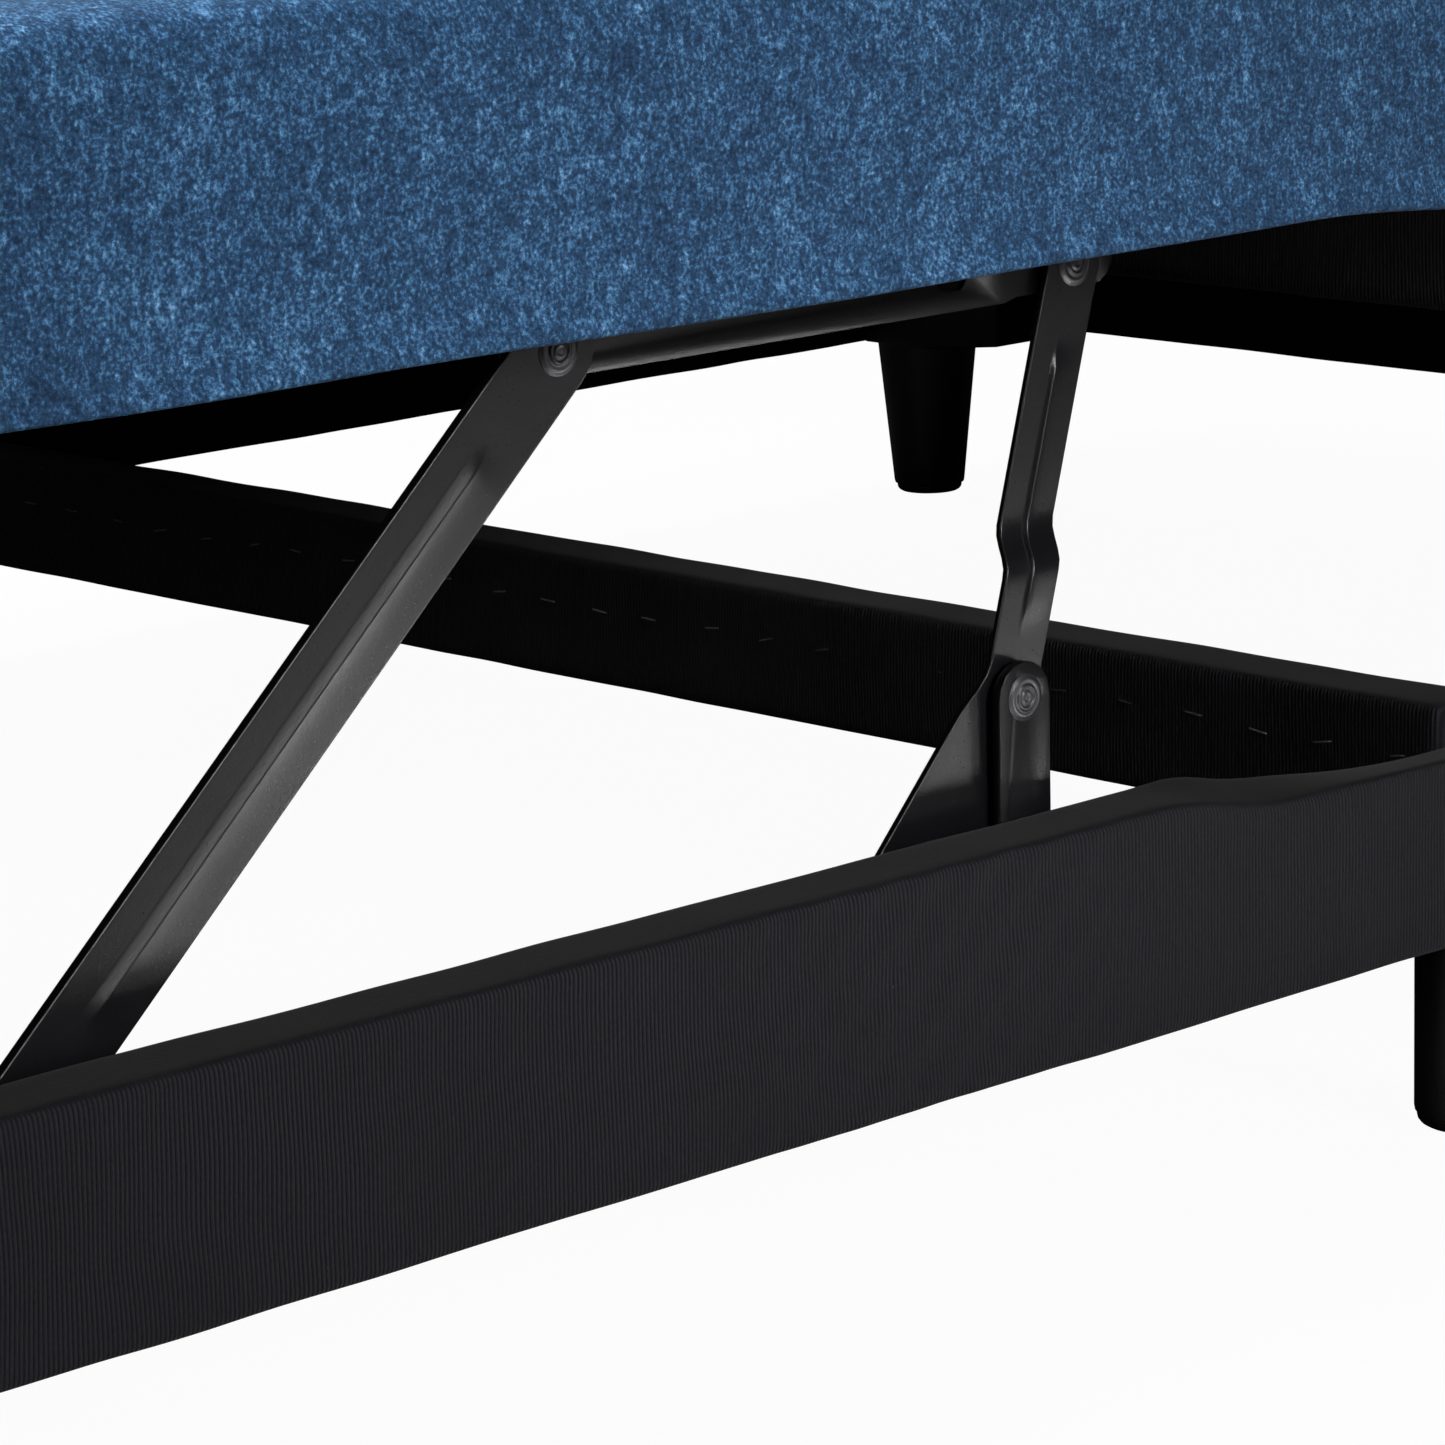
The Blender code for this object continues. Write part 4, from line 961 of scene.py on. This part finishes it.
class geometryTree:   # short calls for a Geometry Nodes tree with named inputs

    def __init__(self, name, inputs):
        self.tree = bpy.data.node_groups.new(name, "GeometryNodeTree")
        self.tree.interface.new_socket("Geometry", in_out="INPUT", socket_type="NodeSocketGeometry")
        self.keys = {}
        for label, kind in inputs.items():
            socket = self.tree.interface.new_socket(label, in_out="INPUT", socket_type="NodeSocket" + kind)
            self.keys[label] = socket.identifier
        self.tree.interface.new_socket("Geometry", in_out="OUTPUT", socket_type="NodeSocketGeometry")
        self.inside = self.tree.nodes.new("NodeGroupInput")
        self.outside = self.tree.nodes.new("NodeGroupOutput")

    def get(self, label):
        return self.inside.outputs[label]

    def add(self, kind, settings=None, **inputs):
        node = self.tree.nodes.new(kind)
        for key, value in (settings or {}).items():
            setattr(node, key, value)
        for key, value in inputs.items():
            self.feed(node.inputs[key.replace("_", " ")], value)
        return node

    def feed(self, socket, value):
        if isinstance(value, bpy.types.NodeSocket):
            self.tree.links.new(value, socket)
        else:
            socket.default_value = value

    def times(self, value, factor):
        node = self.add("ShaderNodeMath", {"operation": "MULTIPLY"})
        self.feed(node.inputs[0], value)
        self.feed(node.inputs[1], factor)
        return node.outputs[0]

    def end(self, geometry):
        solid = self.add("GeometryNodeRealizeInstances", Geometry=geometry)
        painted = self.add("GeometryNodeSetMaterial", Geometry=solid.outputs[0],
                           Material=self.get("Finish"))
        self.tree.links.new(painted.outputs[0], self.outside.inputs[0])
        return self

    def run(self, name, mesh, values):   # the tree's result on a mesh of starting points
        thing = asObject(name, mesh)
        modifier = thing.modifiers.new("nodes", "NODES")
        modifier.node_group = self.tree
        for label, value in values.items():
            modifier[self.keys[label]] = value
        thing.data.update()
        return bake(thing)


def stapleRowTree():   # a row of wire staples, each a little off its place and angle
    t = geometryTree("stapleRow", {"Start": "Vector", "Step": "Vector", "Count": "Int", "Crown": "Float",
                                   "Wire": "Float", "Low Turn": "Vector", "High Turn": "Vector",
                                   "Slip": "Vector", "Less Slip": "Vector", "Base Turn": "Vector",
                                   "Seed": "Int", "Finish": "Material"})
    row = t.add("GeometryNodeMeshLine", Count=t.get("Count"), Start_Location=t.get("Start"),
                Offset=t.get("Step"))
    slip = t.add("FunctionNodeRandomValue", {"data_type": "FLOAT_VECTOR"}, Seed=t.get("Seed"))
    t.feed(slip.inputs["Min"], t.get("Less Slip"))
    t.feed(slip.inputs["Max"], t.get("Slip"))
    moved = t.add("GeometryNodeSetPosition", Geometry=row.outputs[0], Offset=slip.outputs[0])
    half, less, rise = (t.times(t.get(label), factor)
                        for label, factor in (("Crown", 0.5), ("Crown", -0.5), ("Wire", 1.6)))
    ends = [t.add("ShaderNodeCombineXYZ", X=x, Y=0.0, Z=0.0) for x in (less, half)]
    tops = [t.add("ShaderNodeCombineXYZ", X=x, Y=0.0, Z=rise) for x in (less, half)]
    wire = t.add("GeometryNodeCurvePrimitiveBezierSegment", Resolution=8, Start=ends[0].outputs[0],
                 Start_Handle=tops[0].outputs[0], End_Handle=tops[1].outputs[0], End=ends[1].outputs[0])
    ring = t.add("GeometryNodeCurvePrimitiveCircle", Resolution=8, Radius=t.get("Wire"))
    tube = t.add("GeometryNodeCurveToMesh", Curve=wire.outputs[0], Profile_Curve=ring.outputs[0],
                 Fill_Caps=True)
    facing = t.add("GeometryNodeTransform", Geometry=tube.outputs[0], Rotation=t.get("Base Turn"))
    turn = t.add("FunctionNodeRandomValue", {"data_type": "FLOAT_VECTOR"}, Seed=t.get("Seed"))
    t.feed(turn.inputs["Min"], t.get("Low Turn"))
    t.feed(turn.inputs["Max"], t.get("High Turn"))
    many = t.add("GeometryNodeInstanceOnPoints", Points=moved.outputs[0], Instance=facing.outputs[0],
                 Rotation=turn.outputs[0])
    return t.end(many.outputs[0])


def headsTree():   # one turned head on every starting point, with its top facing one way
    t = geometryTree("fastenerHeads", {"Head": "Object", "Size": "Float", "Facing": "Vector",
                                       "Spin": "Float", "Seed": "Int", "Finish": "Material"})
    source = t.add("GeometryNodeObjectInfo", Object=t.get("Head"))
    spin = t.add("FunctionNodeRandomValue", {"data_type": "FLOAT"}, Seed=t.get("Seed"))
    t.feed(spin.inputs[3], t.get("Spin"))
    own = t.add("ShaderNodeCombineXYZ", X=0.0, Y=0.0, Z=spin.outputs[1])
    aim = t.add("FunctionNodeAlignRotationToVector", {"axis": "Z"}, Vector=t.get("Facing"))
    many = t.add("GeometryNodeInstanceOnPoints", Points=t.get("Geometry"),
                 Instance=source.outputs["Geometry"], Rotation=aim.outputs[0], Scale=t.get("Size"))
    turned = t.add("GeometryNodeRotateInstances", Instances=many.outputs[0], Rotation=own.outputs[0])
    return t.end(turned.outputs[0])


stapleRow, fastenerHeads = stapleRowTree(), headsTree()


def emptyMesh(name, points=()):
    mesh = bpy.data.meshes.new(name)
    mesh.from_pydata([tuple(p) for p in points], [], [])
    return mesh


railStaples = {"crown": 0.0105, "wire": 0.00042, "count": 33, "below": 0.0225, "step": 0.038,
               "first": 0.020, "slip": (0, 0.004, 0.0015), "lowTurn": (-0.35, 0, 0),
               "highTurn": (0.12, 0, 0)}


def stapleRails():   # they hold the fabric's edge on the inner faces of the cross rail and the end rail
    g = railStaples
    for node, face, seed in (("lift_cross_rail", -1, 7), ("foot_end_rail", 1, 11)):
        low, high = (Vector(c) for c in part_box(node))
        x = low.x - proud if face < 0 else high.x + proud
        start = (x, low.y + g["first"], high.z - g["below"])
        baseTurn = (math.radians(90), 0, math.radians(90 if face > 0 else -90))
        staples = stapleRow.run("staples_" + node, emptyMesh("row"), {
            "Start": start, "Step": (0, g["step"], 0), "Count": g["count"], "Crown": g["crown"],
            "Wire": g["wire"], "Low Turn": g["lowTurn"], "High Turn": g["highTurn"],
            "Less Slip": tuple(-part for part in g["slip"]), "Slip": g["slip"],
            "Base Turn": baseTurn, "Seed": seed, "Finish": looks["zinc"]})
        finishPiece(staples, looks["zinc"], "base")


rivetHead = {   # radius and height of the head's rings, from its middle outwards
    "rings": [(0.0, 0.0003), (0.0008, 0.0001), (0.0012, 0.0001), (0.0016, 0.00045), (0.0022, 0.0005),
              (0.0028, 0.0003), (0.0031, 0.0), (0.0035, 0.0), (0.0038, 0.0005), (0.0043, 0.00065),
              (0.0050, 0.0005), (0.0053, -0.0001), (0.0060, -0.0002), (0.0065, 0.0), (0.0072, 0.0),
              (0.0080, -0.0003), (0.0086, -0.00065), (0.0092, -0.00085)],
    "depth": -0.0012}


def headSource():   # the turned head that the tree copies: a dimple, a dome and pressed rings
    shape = bmesh.new()
    rings = rivetHead["rings"]
    profile = [(0, rivetHead["depth"]), (rings[-1][0], rivetHead["depth"])]
    profile += [(radius, height) for radius, height in reversed(rings)]
    turnedShape(shape, profile, 40, Matrix.Identity(4))
    return asObject("headSource", meshFrom("headSource", shape, 60))


screwHead = {"radius": 0.0036, "height": 0.0012, "recess": 0.0015, "sunk": 0.002}
screwPlaces = {"joinAlong": (0.10, 0.26, 0.60, 0.76, 0.92), "joinUp": (0.25, 0.75),
               "couplerAlong": (0.08, 0.3, 0.52, 0.74, 0.95), "couplerIn": 0.004, "couplerDown": 0.0031,
               "couplerSize": 1.1}


def screwSource():
    shape = bmesh.new()
    r, h, c, sunk = (screwHead[k] for k in ("radius", "height", "recess", "sunk"))
    profile = [(0, -sunk), (r * 0.5, -sunk), (r, 0), (r, h * 0.4), (r * 0.8, h), (c, h),
               (c * 0.8, h * 0.2), (0, h * 0.2)]
    turnedShape(shape, profile, 24, Matrix.Identity(4))
    return asObject("screwSource", meshFrom("screwSource", shape, 40))


def fastenEverything():
    head, screw = headSource(), screwSource()
    for label, side in sides.items():
        out, inwards = (0, side, 0), (0, -side, 0)
        sets = {
            "base": [("crank_pivot_rivet_", out), ("arm_pivot_rivet_", inwards), ("crank_pivot_rivet_", inwards)],
            "long_arm_" + label: [("arm_deck_rivet_", out), ("arm_deck_rivet_", inwards)],
            "crank_" + label: [("crank_deck_rivet_", out), ("strut_crank_stud_", out)],
            "lift_deck": [("coupler_end_rivet_", inwards)],
        }
        for body, heads in sets.items():
            for number, (stem, facing) in enumerate(heads):
                low, high = (Vector(c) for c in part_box(stem + label))
                centre = (low + high) / 2
                outFace = low.y if facing[1] < 0 else high.y
                spot = (centre.x, outFace + facing[1] * proud, centre.z)
                name = "heads_" + stem + label + ("_in" if facing is inwards else "_out")
                made = fastenerHeads.run(name, emptyMesh("points", [spot]), {
                    "Head": head, "Size": 1.0, "Facing": facing, "Spin": 0.0, "Seed": number,
                    "Finish": looks["rivet"]})
                finishPiece(made, looks["rivet"], body)
        low, high = (Vector(c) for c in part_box("join_plate_" + label))
        face = high.y if side < 0 else low.y
        spots = [(low.x + (high.x - low.x) * k, face, low.z + (high.z - low.z) * m)
                 for k in screwPlaces["joinAlong"] for m in screwPlaces["joinUp"]]
        made = fastenerHeads.run("screws_join_plate_" + label, emptyMesh("points", spots), {
            "Head": screw, "Size": 1.0, "Facing": inwards, "Spin": 3.0, "Seed": 5,
            "Finish": looks["rivet"]})
        finishPiece(made, looks["rivet"], "base")
        low, high = (Vector(c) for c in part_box("coupler_" + label))
        flangeY = (low.y + high.y) / 2 - side * screwPlaces["couplerIn"]
        spots = [(low.x + (high.x - low.x) * k, flangeY, high.z - screwPlaces["couplerDown"])
                 for k in screwPlaces["couplerAlong"]]
        made = fastenerHeads.run("screws_coupler_" + label, emptyMesh("points", spots), {
            "Head": screw, "Size": screwPlaces["couplerSize"], "Facing": (0, 0, -1), "Spin": 3.0,
            "Seed": 9, "Finish": looks["rivet"]})
        finishPiece(made, looks["rivet"], "lift_deck")
    for source in (head, screw):
        bpy.data.objects.remove(source)


stapleRails()
fastenEverything()


def paintCarriedNodes():   # CAD solids that show as they are get the steel of the rivets
    for node, thing in frame["nodes"].items():
        if "rivet" in node or "stud" in node or "stop" in node:
            thing.data.materials.clear()
            thing.data.materials.append(looks["rivet"])


paintCarriedNodes()
print("bed base: staples, rivets and screws are in")
